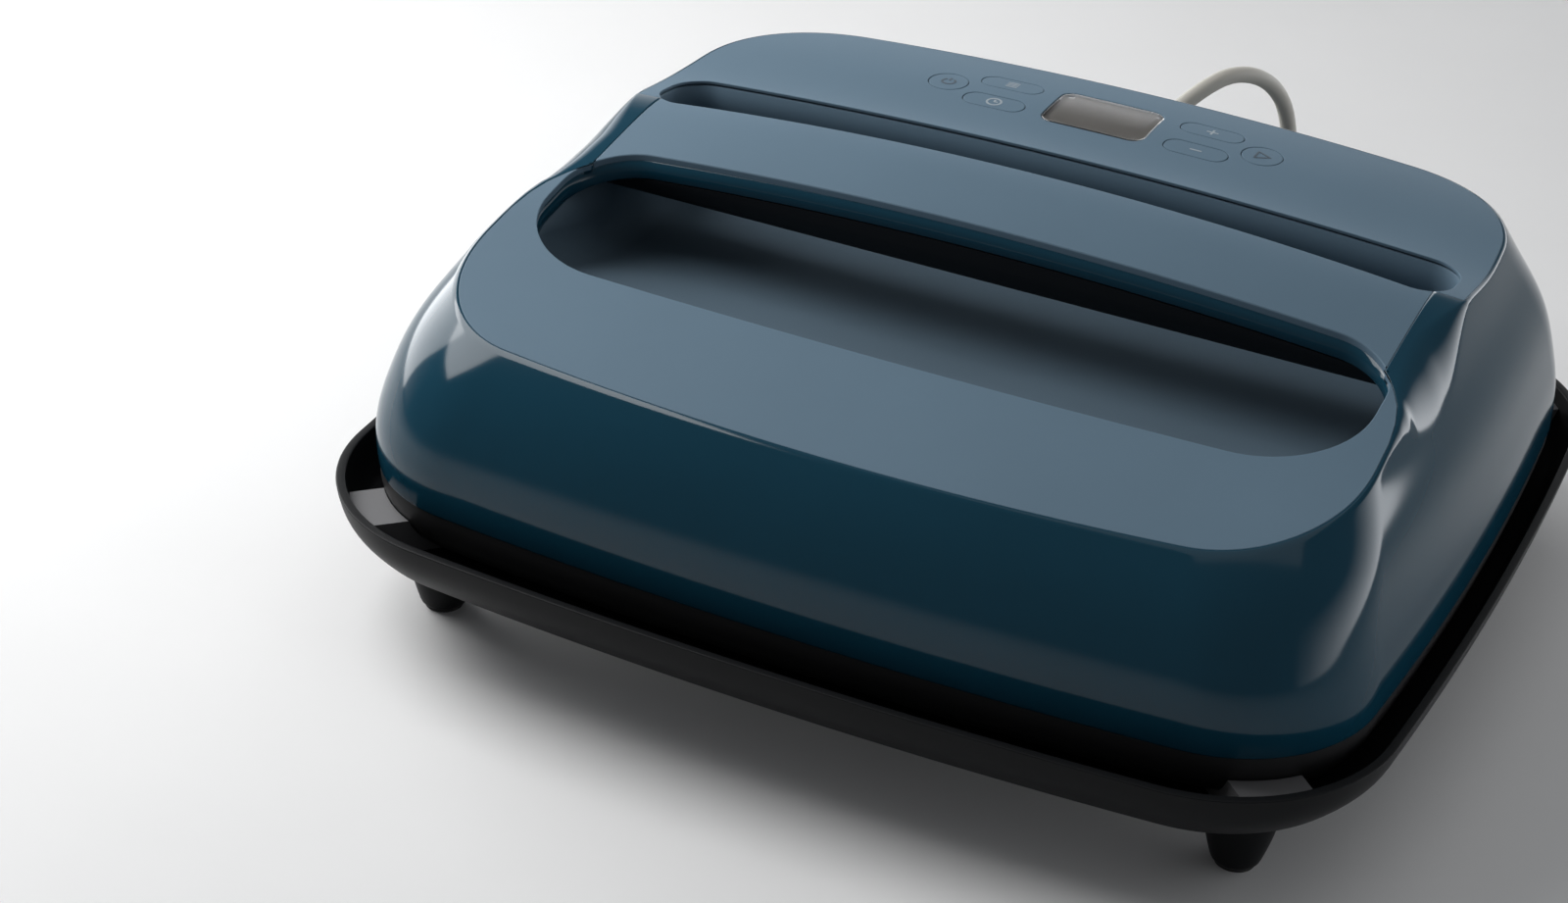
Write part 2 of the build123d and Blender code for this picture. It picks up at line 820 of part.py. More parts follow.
with BuildPart() as plate_standoffs:
    with BuildSketch(Plane.XY.offset(plate_top)):
        with Locations(*post_places):
            Circle(post_radius)
    extrude(amount=shield_bottom - plate_top)
plate_standoffs.part.label = "plate_standoffs"
export_step(plate_standoffs.part, "parts/plate_standoffs.step")

with BuildPart() as thermal_cutout:
    with BuildSketch(Plane.XY.offset(plate_top)):
        with Locations(cutout_place):
            Circle(cutout_radius)
    extrude(amount=cutout_height)
    with BuildSketch(Plane.XY.offset(plate_top + cutout_height)):
        with Locations(cutout_place):
            Circle(cutout_radius / 2)
    extrude(amount=plate_gap)
thermal_cutout.part.label = "thermal_cutout"
export_step(thermal_cutout.part, "parts/thermal_cutout.step")

with BuildPart() as temperature_sensor:
    with BuildSketch(Plane.XZ.offset(-sensor_place[1])):
        with Locations((sensor_place[0], plate_top + sensor_radius)):
            Circle(sensor_radius)
    extrude(amount=sensor_length)
temperature_sensor.part.label = "temperature_sensor"
export_step(temperature_sensor.part, "parts/temperature_sensor.step")

# Power electronics above the shield
power_board_top = shield_top + power_board_lift + board_thickness
with BuildPart() as power_board:
    with BuildSketch(Plane.XY.offset(shield_top + power_board_lift)):
        RectangleRounded(power_board_width, power_board_length, board_corner)
    extrude(amount=board_thickness)
    with BuildSketch(Plane.XY.offset(shield_top)):
        with GridLocations(
            power_board_width - 2 * power_board_margin, power_board_length - 2 * power_board_margin, 2, 2
        ):
            Circle(power_post_radius)
    extrude(amount=power_board_lift)
power_board.part.label = "power_board"
export_step(power_board.part, "parts/power_board.step")

with BuildPart() as relay:
    with BuildSketch(Plane.XY.offset(power_board_top)):
        with Locations(relay_place):
            Rectangle(relay_size[0], relay_size[1])
    extrude(amount=relay_size[2])
    fillet(relay.edges().filter_by(Axis.Z), 1)
relay.part.label = "relay"
export_step(relay.part, "parts/relay.step")

with BuildPart() as terminal_block:
    with BuildSketch(Plane.XY.offset(power_board_top)):
        with Locations(terminal_place):
            Rectangle(terminal_size[0], terminal_size[1])
    extrude(amount=terminal_size[2])
    with BuildSketch(Plane.XY.offset(power_board_top + terminal_size[2])):
        with Locations(terminal_place):
            with GridLocations(terminal_size[0] / 3, 0, 3, 1):
                Circle(screw_radius)
    extrude(amount=-terminal_size[2] / 2, mode=Mode.SUBTRACT)
terminal_block.part.label = "terminal_block"
export_step(terminal_block.part, "parts/terminal_block.step")


# Safety base
def tray_block(margin, heights):
    """Solid inside the tray's outline, drawn in by a margin."""
    with BuildPart() as block:
        for height, inset in zip(heights, tray_insets):
            with BuildSketch(Plane.XY.offset(height)):
                bulged_outline(
                    rim_half_width - inset - margin,
                    rim_half_depth - inset - margin,
                    rim_half_depth - inset - margin,
                    rim_side_sag,
                    rim_front_sag,
                    rim_radius - inset - margin,
                )
        loft()
    return block.part


tray_inside_heights = [foot_height + tray_floor, tray_middle, rim_height]
with BuildPart() as base_tray:
    add(tray_block(0, [foot_height, tray_middle, rim_height]))
    add(tray_block(tray_wall, tray_inside_heights), mode=Mode.SUBTRACT)
    with BuildSketch(Plane.XY.offset(foot_height)):
        with GridLocations(2 * foot_x, 2 * foot_y, 2, 2):
            Circle(screw_radius)
    extrude(amount=tray_floor, mode=Mode.SUBTRACT)
base_tray.part.label = "base_tray"
export_step(base_tray.part, "parts/base_tray.step")

with BuildPart() as rest_pads:
    for turn, (x, y) in zip((45, 135, 225, 315), ((1, 1), (-1, 1), (-1, -1), (1, -1))):
        with BuildSketch(Plane.XY.offset(foot_height + tray_floor)):
            with Locations(Location((x * rest_x, y * rest_y, 0), (0, 0, turn))):
                RectangleRounded(rest_width, rest_length, rest_corner)
    extrude(amount=rest_height)
    add(tray_block(tray_wall + rest_gap, tray_inside_heights), mode=Mode.INTERSECT)
    add(band_block(-rest_gap, [parting_height, band_middle, band_bottom], band_insets), mode=Mode.SUBTRACT)
    with BuildSketch(Plane.XY.offset(foot_height)):
        bulged_outline(
            plate_half_width + rest_clear,
            plate_half_depth + rest_clear,
            plate_half_depth + rest_clear,
            plate_sag,
            plate_sag,
            plate_radius + rest_clear,
        )
    extrude(amount=rest_height + tray_floor, mode=Mode.SUBTRACT)
    # Room for the heads of the foot screws
    with BuildSketch(Plane.XY.offset(foot_height)):
        with GridLocations(2 * foot_x, 2 * foot_y, 2, 2):
            Circle(screw_head_radius + rest_gap)
    extrude(amount=rest_height + tray_floor, mode=Mode.SUBTRACT)
rest_pads.part.label = "rest_pads"
export_step(rest_pads.part, "parts/rest_pads.step")

foot_heights = [foot_height, foot_waist_height, foot_pad_height]
foot_radii = [foot_top_radius, foot_waist_radius, foot_end_radius]
with BuildPart() as feet:
    for place in GridLocations(2 * foot_x, 2 * foot_y, 2, 2):
        for height, radius in zip(foot_heights, foot_radii):
            with BuildSketch(Plane.XY.offset(height)):
                with Locations(place):
                    Circle(radius)
        loft()
    with BuildSketch(Plane.XY.offset(foot_height)):
        with GridLocations(2 * foot_x, 2 * foot_y, 2, 2):
            Circle(screw_radius)
    extrude(amount=-foot_screw_reach, mode=Mode.SUBTRACT)
feet.part.label = "feet"
export_step(feet.part, "parts/feet.step")

with BuildPart() as foot_screws:
    with BuildSketch(Plane.XY.offset(foot_height + tray_floor)):
        with GridLocations(2 * foot_x, 2 * foot_y, 2, 2):
            Circle(screw_head_radius)
    extrude(amount=screw_head_height)
    with BuildSketch(Plane.XY.offset(foot_height + tray_floor)):
        with GridLocations(2 * foot_x, 2 * foot_y, 2, 2):
            Circle(screw_radius - screw_gap)
    extrude(amount=-foot_screw_reach)
foot_screws.part.label = "foot_screws"
export_step(foot_screws.part, "parts/foot_screws.step")

with BuildPart() as foot_pads:
    with BuildSketch():
        with GridLocations(2 * foot_x, 2 * foot_y, 2, 2):
            Circle(foot_pad_radius)
    extrude(amount=foot_pad_height)
foot_pads.part.label = "foot_pads"
export_step(foot_pads.part, "parts/foot_pads.step")

# Strain relief through the rear wall, and the cord that leaves it
with BuildPart() as strain_relief:
    add(strain_cone(0))
strain_relief.part.label = "strain_relief"
export_step(strain_relief.part, "parts/strain_relief.step")

run_radii = []
for before, here, after in zip(cord_route, cord_route[1:], cord_route[2:]):
    way_in = Vector(*here) - Vector(*before)
    way_out = Vector(*after) - Vector(*here)
    half_turn = math.radians(way_in.get_angle(way_out)) / 2
    run_radii.append(0.45 * min(way_in.length, way_out.length) / math.tan(half_turn))
print("cord radii", [round(radius, 1) for radius in run_radii])

with BuildPart() as cord_run:
    with BuildLine() as run_path:
        FilletPolyline(*cord_route, radius=run_radii)
    with BuildSketch(Plane(origin=cord_exit, z_dir=exit_way)):
        Circle(cord_radius)
    sweep(path=run_path.line)
cord_run.part.label = "cord_run"
export_step(cord_run.part, "parts/cord_run.step")
run_length = run_path.wires()[0].length
print("run", run_length, cord_run.part.volume / (math.pi * cord_radius**2 * run_length))

# Coil: half turns whose radius changes by half a pitch each time, in on the lower layer and out on the upper
upper_layer = lower_layer + coil_pitch
coil_x, coil_y = coil_centre
with BuildPart() as cord_coil:
    with BuildLine() as coil_path:
        x, side = coil_x + coil_outer_radius, 1
        straight = Line((x, coil_y - 2 * cord_radius, lower_layer), (x, coil_y, lower_layer))
        radii = [coil_outer_radius - k * coil_pitch / 2 for k in range(coil_half_turns)]
        for radius in radii:
            middle = (x - side * radius, coil_y + side * radius, lower_layer)
            ThreePointArc((x, coil_y, lower_layer), middle, (x - 2 * side * radius, coil_y, lower_layer))
            x, side = x - 2 * side * radius, -side
        climb = coil_outer_radius - coil_half_turns * coil_pitch / 2
        low_end = Vector(x, coil_y, lower_layer)
        high_end = Vector(x - 2 * side * climb, coil_y, upper_layer)
        way = Vector(0, side, 0)
        halfway = (low_end + high_end) / 2 + way * ((high_end - low_end).length / 2)
        first_arc = TangentArc(low_end, halfway, tangent=way)
        TangentArc(halfway, high_end, tangent=first_arc % 1)
        x, side = x - 2 * side * climb, -side
        for radius in reversed(radii):
            middle = (x - side * radius, coil_y + side * radius, upper_layer)
            ThreePointArc((x, coil_y, upper_layer), middle, (x - 2 * side * radius, coil_y, upper_layer))
            x, side = x - 2 * side * radius, -side
        Line((x, coil_y, upper_layer), (x, coil_y + side * coil_tail, upper_layer))
    with BuildSketch(Plane(origin=straight @ 0, z_dir=straight % 0)):
        Circle(cord_radius)
    sweep(path=coil_path.line)
cord_coil.part.label = "cord_coil"
export_step(cord_coil.part, "parts/cord_coil.step")
coil_wire = coil_path.wires()[0]
coil_length = coil_wire.length
print("coil", coil_length, cord_coil.part.volume / (math.pi * cord_radius**2 * coil_length))
print("cord length", run_length + coil_length)

# Least gap of the coil to itself, on points along its middle line
steps = 900
spots = [coil_wire @ (k / steps) for k in range(steps + 1)]
apart = int(math.pi * climb / (coil_length / steps))
least = min(
    (spots[i] - spots[j]).length for i in range(steps + 1) for j in range(i + apart, steps + 1)
)
print("least gap in the coil", least - 2 * cord_radius)

tie_reach = cord_radius + tie_gap
tie_x = coil_x - coil_pitch / 2
tie_sag = (tie_width / 2 + coil_pitch / 2) ** 2 / (2 * (climb - cord_radius))
near_radii, far_radii = radii[1::2] + [climb], radii[0::2]
tie_spans = [
    (min(far_radii) - tie_reach - tie_sag, max(far_radii) + tie_reach),
    (-max(near_radii) - tie_reach, tie_reach + tie_sag - min(near_radii)),
]
with BuildPart() as coil_ties:
    for near, far in tie_spans:
        low, high = coil_y + near, coil_y + far
        tie_top = upper_layer + cord_radius + tie_gap + tie_thickness
        with BuildSketch(Plane.YZ.offset(tie_x - tie_width / 2)):
            with Locations(((low + high) / 2, tie_top / 2)):
                RectangleRounded(high - low + 2 * tie_thickness, tie_top, tie_corner)
                RectangleRounded(
                    high - low, tie_top - 2 * tie_thickness, tie_corner - tie_thickness, mode=Mode.SUBTRACT
                )
        extrude(amount=tie_width)
coil_ties.part.label = "coil_ties"
export_step(coil_ties.part, "parts/coil_ties.step")

plug_x = x
plug_back = coil_y + side * coil_tail
with BuildPart() as plug_body:
    with BuildSketch(Plane.XZ.offset(-plug_back)):
        with Locations((plug_x, upper_layer)):
            RectangleRounded(plug_width * 0.62, 2 * upper_layer - 2 * plug_taper, plug_corner)
    with BuildSketch(Plane.XZ.offset(-plug_back + plug_length * 0.45)):
        with Locations((plug_x, upper_layer)):
            RectangleRounded(plug_width, 2 * upper_layer, plug_corner)
    with BuildSketch(Plane.XZ.offset(-plug_back + plug_length)):
        with Locations((plug_x, upper_layer)):
            RectangleRounded(plug_width, 2 * upper_layer, plug_corner)
    loft(ruled=True)
plug_body.part.label = "plug_body"
export_step(plug_body.part, "parts/plug_body.step")

with BuildPart() as plug_pins:
    with BuildSketch(Plane.XZ.offset(-plug_back + plug_length)):
        with Locations((plug_x - blade_spread / 2, upper_layer), (plug_x + blade_spread / 2, upper_layer)):
            Rectangle(blade_thickness, blade_width)
        with Locations((plug_x, upper_layer - earth_drop)):
            Circle(earth_radius)
    extrude(amount=pin_length)
plug_pins.part.label = "plug_pins"
export_step(plug_pins.part, "parts/plug_pins.step")
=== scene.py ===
import math

import bmesh
import bpy
import numpy as np
from mathutils import Matrix, Vector
from mathutils.geometry import delaunay_2d_cdt


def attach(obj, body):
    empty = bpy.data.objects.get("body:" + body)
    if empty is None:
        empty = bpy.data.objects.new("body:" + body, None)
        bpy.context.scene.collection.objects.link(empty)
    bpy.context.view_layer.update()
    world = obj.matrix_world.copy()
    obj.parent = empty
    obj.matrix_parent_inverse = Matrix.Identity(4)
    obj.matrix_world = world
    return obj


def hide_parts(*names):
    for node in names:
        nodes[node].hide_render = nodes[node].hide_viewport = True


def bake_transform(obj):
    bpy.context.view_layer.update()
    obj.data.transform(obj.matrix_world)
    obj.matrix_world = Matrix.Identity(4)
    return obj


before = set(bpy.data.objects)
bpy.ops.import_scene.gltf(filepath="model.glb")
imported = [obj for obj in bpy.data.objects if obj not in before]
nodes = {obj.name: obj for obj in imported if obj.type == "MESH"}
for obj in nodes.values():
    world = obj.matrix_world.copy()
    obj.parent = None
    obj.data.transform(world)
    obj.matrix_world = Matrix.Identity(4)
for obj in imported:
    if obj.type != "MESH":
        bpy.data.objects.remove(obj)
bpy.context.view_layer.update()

# Sizes are in millimetres until a mesh is made. The driving ones are the solids' own.
MM = 0.001

FOOT_TOP = 28.0
RIM_TOP = 47.2
PARTING = 50.0

# Plan of the press at its parting line
PRESS_HALF_WIDTH = 170.6
PRESS_HALF_DEPTH = 146.2
SIDE_SAG = 6.9
FRONT_SAG = 9.4
CORNER_RADIUS = 48.7

# Side walls: height above the parting line, and how far each side has drawn in
WALL_HEIGHTS = [0.0, 15.0, 30.0, 45.0, 60.0, 76.0, 92.0]
SIDE_INSETS = [0.0, 0.3, 3.2, 7.8, 15.8, 22.8, 30.2]
FRONT_INSETS = [0.0, -1.6, 2.0, 11.0, 27.0, 46.0, 65.0]
REAR_INSETS = [0.0, 1.2, 3.6, 7.1, 13.1, 23.6, 37.5]

# Top along its middle: distance back, height above the parting line, fall at the handle's ends
TOP_DEPTHS = [-158.2, -127.2, -103.2, -77.2, -44.2, -12.2, 4.8, 22.8, 37.8, 52.8, 87.8, 119.8, 158.2]
TOP_HEIGHTS = [46.5, 52.5, 56.8, 61.0, 69.5, 79.8, 83.4, 85.0, 82.6, 79.3, 79.2, 77.0, 69.0]
TOP_FALLS = [0.0, 0.0, 0.0, 0.0, 2.0, 7.0, 8.0, 8.0, 7.0, 5.3, 5.0, 5.0, 5.0]

# Openings in the top
OPENING_HALF_WIDTH = 141.0
HOLE_FRONT, HOLE_REAR, HOLE_RADIUS = -77.2, -12.2, 22.0
GROOVE_FRONT, GROOVE_REAR, GROOVE_RADIUS = 22.8, 52.8, 12.0
HOLE_BOW = 3.0
HOLE_FRONT_RADIUS = 34.0
WELL_DEPTHS = [-77.2, -53.2, -28.2, -3.2, 25.8, 43.8, 52.8]
WELL_HEIGHTS = [53.0, 46.0, 39.0, 35.0, 35.0, 41.0, 56.0]
WELL_FILLET = 10.5
LIP_DEPTH = 9.0
LIP_THICKNESS = 2.2
PANEL_THICKNESS = 2.2
SHELL_WALL = 3.0

# Where the gloss shell reaches over the handle's ends: distance back, half width of the covers
ARM_DEPTHS = [-53.2, -44.2, -36.2, -30.2, -26.2, -23.7, -22.2]
ARM_HALF_WIDTHS = [149.0, 147.8, 145.6, 142.6, 140.2, 138.3, 137.0]
ARM_TIP = -22.2
REAR_TIP = 25.8
EDGE_RIM = 1.0

# Rounding of the crease between wall and top: small all round, and large at the handle's ends
CREASE_ROUND = 0.7
HANDLE_ROUND = 9.0
ROUND_DROP = 1.5
ROUND_BEGIN, ROUND_FULL = -60.0, -12.0
ROUND_FADE, ROUND_END = -4.0, REAR_TIP + 6.0
ROUND_MAX_SHARE = 0.93
ON_SIDE = 0.9
TOP_CLEARANCE = 0.01


# Mesh work
NO_ZERO = 1e-9
SLOPE_STEP = 0.05
ON_SURFACE = 0.01
WELD_DISTANCE = 0.004
SHORTEST_SIDE = 0.02
SHARPEST_MITRE = 0.5
FIELD_MARGIN = 0.8
MERGE_DISTANCE = 1e-4
COVER_STEP = 1.6


def smooth_curve(xs, ys):
    """Natural cubic spline through points, as a function of a number or an array."""
    xs, ys = np.asarray(xs, float), np.asarray(ys, float)
    gaps = np.diff(xs)
    slopes = np.diff(ys) / gaps
    count = len(xs)
    matrix, right = np.eye(count), np.zeros(count)
    for i in range(1, count - 1):
        matrix[i, i - 1 : i + 2] = gaps[i - 1], 2 * (gaps[i - 1] + gaps[i]), gaps[i]
        right[i] = 6 * (slopes[i] - slopes[i - 1])
    bends = np.linalg.solve(matrix, right)

    def value(x):
        i = np.clip(np.searchsorted(xs, x) - 1, 0, count - 2)
        before, after, gap = x - xs[i], xs[i + 1] - x, gaps[i]
        cubic = (bends[i] * after**3 + bends[i + 1] * before**3) / (6 * gap)
        start = (ys[i] / gap - bends[i] * gap / 6) * after
        end = (ys[i + 1] / gap - bends[i + 1] * gap / 6) * before
        return cubic + start + end

    return value


side_inset = smooth_curve(WALL_HEIGHTS, SIDE_INSETS)
front_inset = smooth_curve(WALL_HEIGHTS, FRONT_INSETS)
rear_inset = smooth_curve(WALL_HEIGHTS, REAR_INSETS)
top_line = smooth_curve(TOP_DEPTHS, TOP_HEIGHTS)
top_fall = smooth_curve(TOP_DEPTHS, TOP_FALLS)
well_line = smooth_curve(WELL_DEPTHS, WELL_HEIGHTS)


def top(x, y):
    """Height of the finished top surface above the floor."""
    return PARTING - TOP_CLEARANCE + top_line(y) - top_fall(y) * (x / OPENING_HALF_WIDTH) ** 2


def well_floor(y):
    """Height of the hand well's floor above the floor. It is the same all along X."""
    return PARTING + well_line(y)


# Outlines


def arc_points(centre, radius, start, end, count):
    """Points along an arc, without its last one. Angles are in radians."""
    angles = start + (end - start) * np.arange(count) / count
    return np.stack([centre[0] + radius * np.cos(angles), centre[1] + radius * np.sin(angles)], 1)


def bulged(half_width, front, rear, sag_x, sag_y, radius, per_side=96, per_corner=28):
    """Points round a rounded rectangle with four shallow arcs for sides, anticlockwise.

    The same number of points lies on each stretch at any size, so outlines can be joined."""
    corner_x = half_width - sag_x
    half_depth = (rear + front) / 2 - sag_y
    middle = (rear - front) / 2
    long_radius = (corner_x**2 + sag_y**2) / (2 * sag_y)
    side_radius = (half_depth**2 + sag_x**2) / (2 * sag_x)
    side_centre = np.array([half_width - side_radius, middle])
    parts = {}
    for name, long_centre, turn in (
        ("front", np.array([0.0, long_radius - front]), -1),
        ("rear", np.array([0.0, rear - long_radius]), 1),
    ):
        reach_long, reach_side = long_radius - radius, side_radius - radius
        between = side_centre - long_centre
        distance = np.linalg.norm(between)
        along = (distance**2 + reach_long**2 - reach_side**2) / (2 * distance)
        across = math.sqrt(reach_long**2 - along**2)
        unit = between / distance
        sideways = np.array([-unit[1], unit[0]])
        spots = [long_centre + along * unit + sign * across * sideways for sign in (1, -1)]
        fillet = max(spots, key=lambda spot: spot[0] + turn * spot[1])
        long_angle = math.atan2(*(fillet - long_centre)[::-1])
        side_angle = math.atan2(*(fillet - side_centre)[::-1])
        parts[name] = (long_centre, fillet, long_angle, side_angle)
    front_centre, front_fillet, front_long, front_side = parts["front"]
    rear_centre, rear_fillet, rear_long, rear_side = parts["rear"]
    right = [
        arc_points(front_fillet, radius, front_long, front_side, per_corner),
        arc_points(side_centre, side_radius, front_side, rear_side, per_side),
        arc_points(rear_fillet, radius, rear_side, rear_long, per_corner),
    ]
    front_line = arc_points(front_centre, long_radius, -math.pi - front_long, front_long, per_side)
    rear_line = arc_points(rear_centre, long_radius, rear_long, math.pi - rear_long, per_side)
    flip = np.array([-1.0, 1.0])
    rear_left = arc_points(rear_fillet, radius, rear_long, rear_side, per_corner) * flip
    left = arc_points(side_centre, side_radius, rear_side, front_side, per_side) * flip
    front_left = arc_points(front_fillet, radius, front_side, front_long, per_corner) * flip
    return np.concatenate([front_line, *right, rear_line, rear_left, left, front_left])


def rounded_path(corners, step=1.2):
    """Closed outline through (x, y, radius) corners, anticlockwise, with points a step apart."""
    out = []
    count = len(corners)
    for i in range(count):
        before = np.array(corners[i - 1][:2], float)
        here = np.array(corners[i][:2], float)
        after = np.array(corners[(i + 1) % count][:2], float)
        radius = corners[i][2]
        way_in = (here - before) / np.linalg.norm(here - before)
        way_out = (after - here) / np.linalg.norm(after - here)
        turn = math.atan2(way_in[0] * way_out[1] - way_in[1] * way_out[0], way_in @ way_out)
        if radius <= 0:
            out.append(here)
            continue
        cut = radius * math.tan(abs(turn) / 2)
        side = 1 if turn > 0 else -1
        start = here - way_in * cut
        centre = start + side * radius * np.array([-way_in[1], way_in[0]])
        first = math.atan2(*(start - centre)[::-1])
        bends = max(4, int(abs(turn) * radius / step) + 2)
        for k in range(bends + 1):
            angle = first + turn * k / bends
            out.append(centre + radius * np.array([math.cos(angle), math.sin(angle)]))
    return densify(np.array(out), step)


def densify(loop, step):
    """The closed loop with no side longer than a step, and no doubled points."""
    out = []
    for i in range(len(loop)):
        a, b = loop[i], loop[(i + 1) % len(loop)]
        length = np.linalg.norm(b - a)
        if length < SHORTEST_SIDE:
            continue
        parts = max(1, math.ceil(length / step))
        for k in range(parts):
            out.append(a + (b - a) * k / parts)
    return np.array(out)


def inward(loop):
    """Unit normals of a closed loop, pointing to its left."""
    along = np.roll(loop, -1, 0) - loop
    along /= np.linalg.norm(along, axis=1)[:, None] + NO_ZERO
    mean = along + np.roll(along, 1, 0)
    mean /= np.linalg.norm(mean, axis=1)[:, None] + NO_ZERO
    normal = np.stack([-mean[:, 1], mean[:, 0]], 1)
    half = np.clip((normal * np.stack([-along[:, 1], along[:, 0]], 1)).sum(1), SHARPEST_MITRE, 1)
    return normal / half[:, None]


def inside(points, loops):
    """Which points lie inside an odd number of loops."""
    odd = np.zeros(len(points), bool)
    x, y = points[:, 0], points[:, 1]
    for loop in loops:
        for a, b in zip(loop, np.roll(loop, -1, 0)):
            if a[1] == b[1]:
                continue
            crosses = (a[1] > y) != (b[1] > y)
            odd ^= crosses & (x < (b[0] - a[0]) * (y - a[1]) / (b[1] - a[1]) + a[0])
    return odd


# Meshes


def new_piece(name, verts, faces, smooth=True, weld=True):
    """Mesh object from points in millimetres."""
    mesh = bpy.data.meshes.new(name)
    points = [tuple(float(c) * MM for c in v) for v in verts]
    mesh.from_pydata(points, [], [tuple(f) for f in faces])
    obj = bpy.data.objects.new(name, mesh)
    bpy.context.collection.objects.link(obj)
    work = bmesh.new()
    work.from_mesh(mesh)
    if weld:
        bmesh.ops.remove_doubles(work, verts=work.verts, dist=WELD_DISTANCE * MM)
    bmesh.ops.recalc_face_normals(work, faces=work.faces)
    work.to_mesh(mesh)
    work.free()
    if smooth:
        mesh.polygons.foreach_set("use_smooth", [True] * len(mesh.polygons))
    mesh.update()
    return obj


def grid_faces(rows, columns, closed=True, first=0, wrap_rows=False):
    """Quads over rows of points stored one row after another."""
    faces = []
    for i in range(rows if wrap_rows else rows - 1):
        for j in range(columns if closed else columns - 1):
            a, b = i * columns + j, i * columns + (j + 1) % columns
            c, d = ((i + 1) % rows) * columns + (j + 1) % columns, ((i + 1) % rows) * columns + j
            faces.append((first + a, first + b, first + c, first + d))
    return faces


def filled(rims, field):
    """Flat points and triangles that fill the area within closed rims, round a field of points."""
    edges, offset = [], 0
    for rim in rims:
        edges += [(offset + i, offset + (i + 1) % len(rim)) for i in range(len(rim))]
        offset += len(rim)
    points = [Vector(p) for p in np.concatenate([*rims, field])]
    flat, _, triangles, *_ = delaunay_2d_cdt(points, edges, [], 0, MERGE_DISTANCE)
    flat = np.array([tuple(p) for p in flat])
    triangles = np.array([t for t in triangles if len(t) == 3])
    return flat, triangles[inside(flat[triangles].mean(1), rims)]


def sheet_over(loops, height, edge=0.5, depth=PANEL_THICKNESS, step=4.0, edge_rows=5, lift=0.0):
    """Points and faces of a panel lying on a height surface.

    The first loop is its outside, anticlockwise, and the others are its holes, clockwise. Every
    edge is rounded, and a skirt goes down from it."""
    verts, faces, rims = [], [], []
    for loop in loops:
        normal = inward(loop)
        count, start = len(loop), len(verts)
        rows = [(0.0, depth)]
        for k in range(edge_rows + 1):
            angle = math.pi / 2 * k / edge_rows
            rows.append((edge * (1 - math.cos(angle)), edge * (1 - math.sin(angle))))
        for shift, drop in rows:
            spot = loop + normal * shift
            level = height(spot[:, 0], spot[:, 1]) - drop + lift
            verts += [(x, y, z) for (x, y), z in zip(spot, level)]
        faces += grid_faces(len(rows), count, first=start)
        rims.append(loop + normal * edge)
    low, high = rims[0].min(0), rims[0].max(0)
    xs = np.arange(low[0] + step / 2, high[0], step)
    ys = np.arange(low[1] + step / 2, high[1], step)
    field = np.array([(x, y) for y in ys for x in xs]).reshape(-1, 2)
    field = field[inside(field, [rim + inward(rim) * FIELD_MARGIN for rim in rims])]
    flat, triangles = filled(rims, field)
    level = height(flat[:, 0], flat[:, 1]) + lift
    start = len(verts)
    verts += [(x, y, z) for (x, y), z in zip(flat, level)]
    faces += [tuple(start + int(i) for i in t) for t in triangles]
    return verts, faces


def level_normals(obj, height, lift=0.0):
    """Gives the points that lie on a height surface that surface's own normals."""
    spots = np.array([tuple(v.co) for v in obj.data.vertices]) / MM
    normals = np.array([tuple(v.normal) for v in obj.data.vertices])
    x, y, z = spots.T
    slope_x = height(x + SLOPE_STEP, y) - height(x - SLOPE_STEP, y)
    slope_y = height(x, y + SLOPE_STEP) - height(x, y - SLOPE_STEP)
    true = np.stack([-slope_x, -slope_y, np.full(len(x), 2 * SLOPE_STEP)], 1)
    true /= np.linalg.norm(true, axis=1)[:, None]
    on_surface = np.abs(height(x, y) + lift - z) < ON_SURFACE
    if normals[on_surface, 2].mean() < 0:
        obj.data.flip_normals()
        normals = -normals
    normals[on_surface] = true[on_surface]
    obj.data.normals_split_custom_set_from_vertices([tuple(n) for n in normals])


def swept_ring(loop, section, height):
    """Closed ring along a loop, whose section is (shift to the left, drop) pairs."""
    normal = inward(loop)
    verts = []
    base = height(loop[:, 0], loop[:, 1])
    for shift, drop in section:
        spot = loop + normal * shift
        verts += [(x, y, z - drop) for (x, y), z in zip(spot, base)]
    return verts, grid_faces(len(section), len(loop), wrap_rows=True)


def merged(*parts):
    """Several (verts, faces) pairs as one."""
    verts, faces = [], []
    for more_verts, more_faces in parts:
        faces += [tuple(i + len(verts) for i in f) for f in more_faces]
        verts += list(more_verts)
    return verts, faces


def lathe(profile, turns=48, centre=(0.0, 0.0)):
    """Solid of revolution about an upright line, from (radius, height) pairs."""
    verts = []
    for radius, height in profile:
        for k in range(turns):
            angle = 2 * math.pi * k / turns
            x, y = radius * math.cos(angle), radius * math.sin(angle)
            verts.append((centre[0] + x, centre[1] + y, height))
    return verts, grid_faces(len(profile), turns)


# Materials
PATCH_SCALE = 14.0
ROUGHNESS_SPREAD = 0.12
GRAIN_HEIGHT = 0.05
LINE_STRENGTH, LINE_HEIGHT = 0.25, 0.03


def mapped(tree, source, from_range=(0.0, 1.0), to_range=(0.0, 1.0)):
    """Output of a node that maps a value from one range to another."""
    node = tree.nodes.new("ShaderNodeMapRange")
    sockets = ("From Min", "From Max", "To Min", "To Max")
    for socket, value in zip(sockets, (*from_range, *to_range)):
        node.inputs[socket].default_value = value
    tree.links.new(source, node.inputs["Value"])
    return node.outputs["Result"]


def noise(tree, place, scale=5.0, detail=2.0):
    """Output of a noise node that follows a place."""
    node = tree.nodes.new("ShaderNodeTexNoise")
    node.inputs["Scale"].default_value = scale
    node.inputs["Detail"].default_value = detail
    tree.links.new(place, node.inputs["Vector"])
    return node.outputs["Fac"]


def object_place(tree):
    """Output of a node that gives the object's own coordinates."""
    return tree.nodes.new("ShaderNodeTexCoord").outputs["Object"]


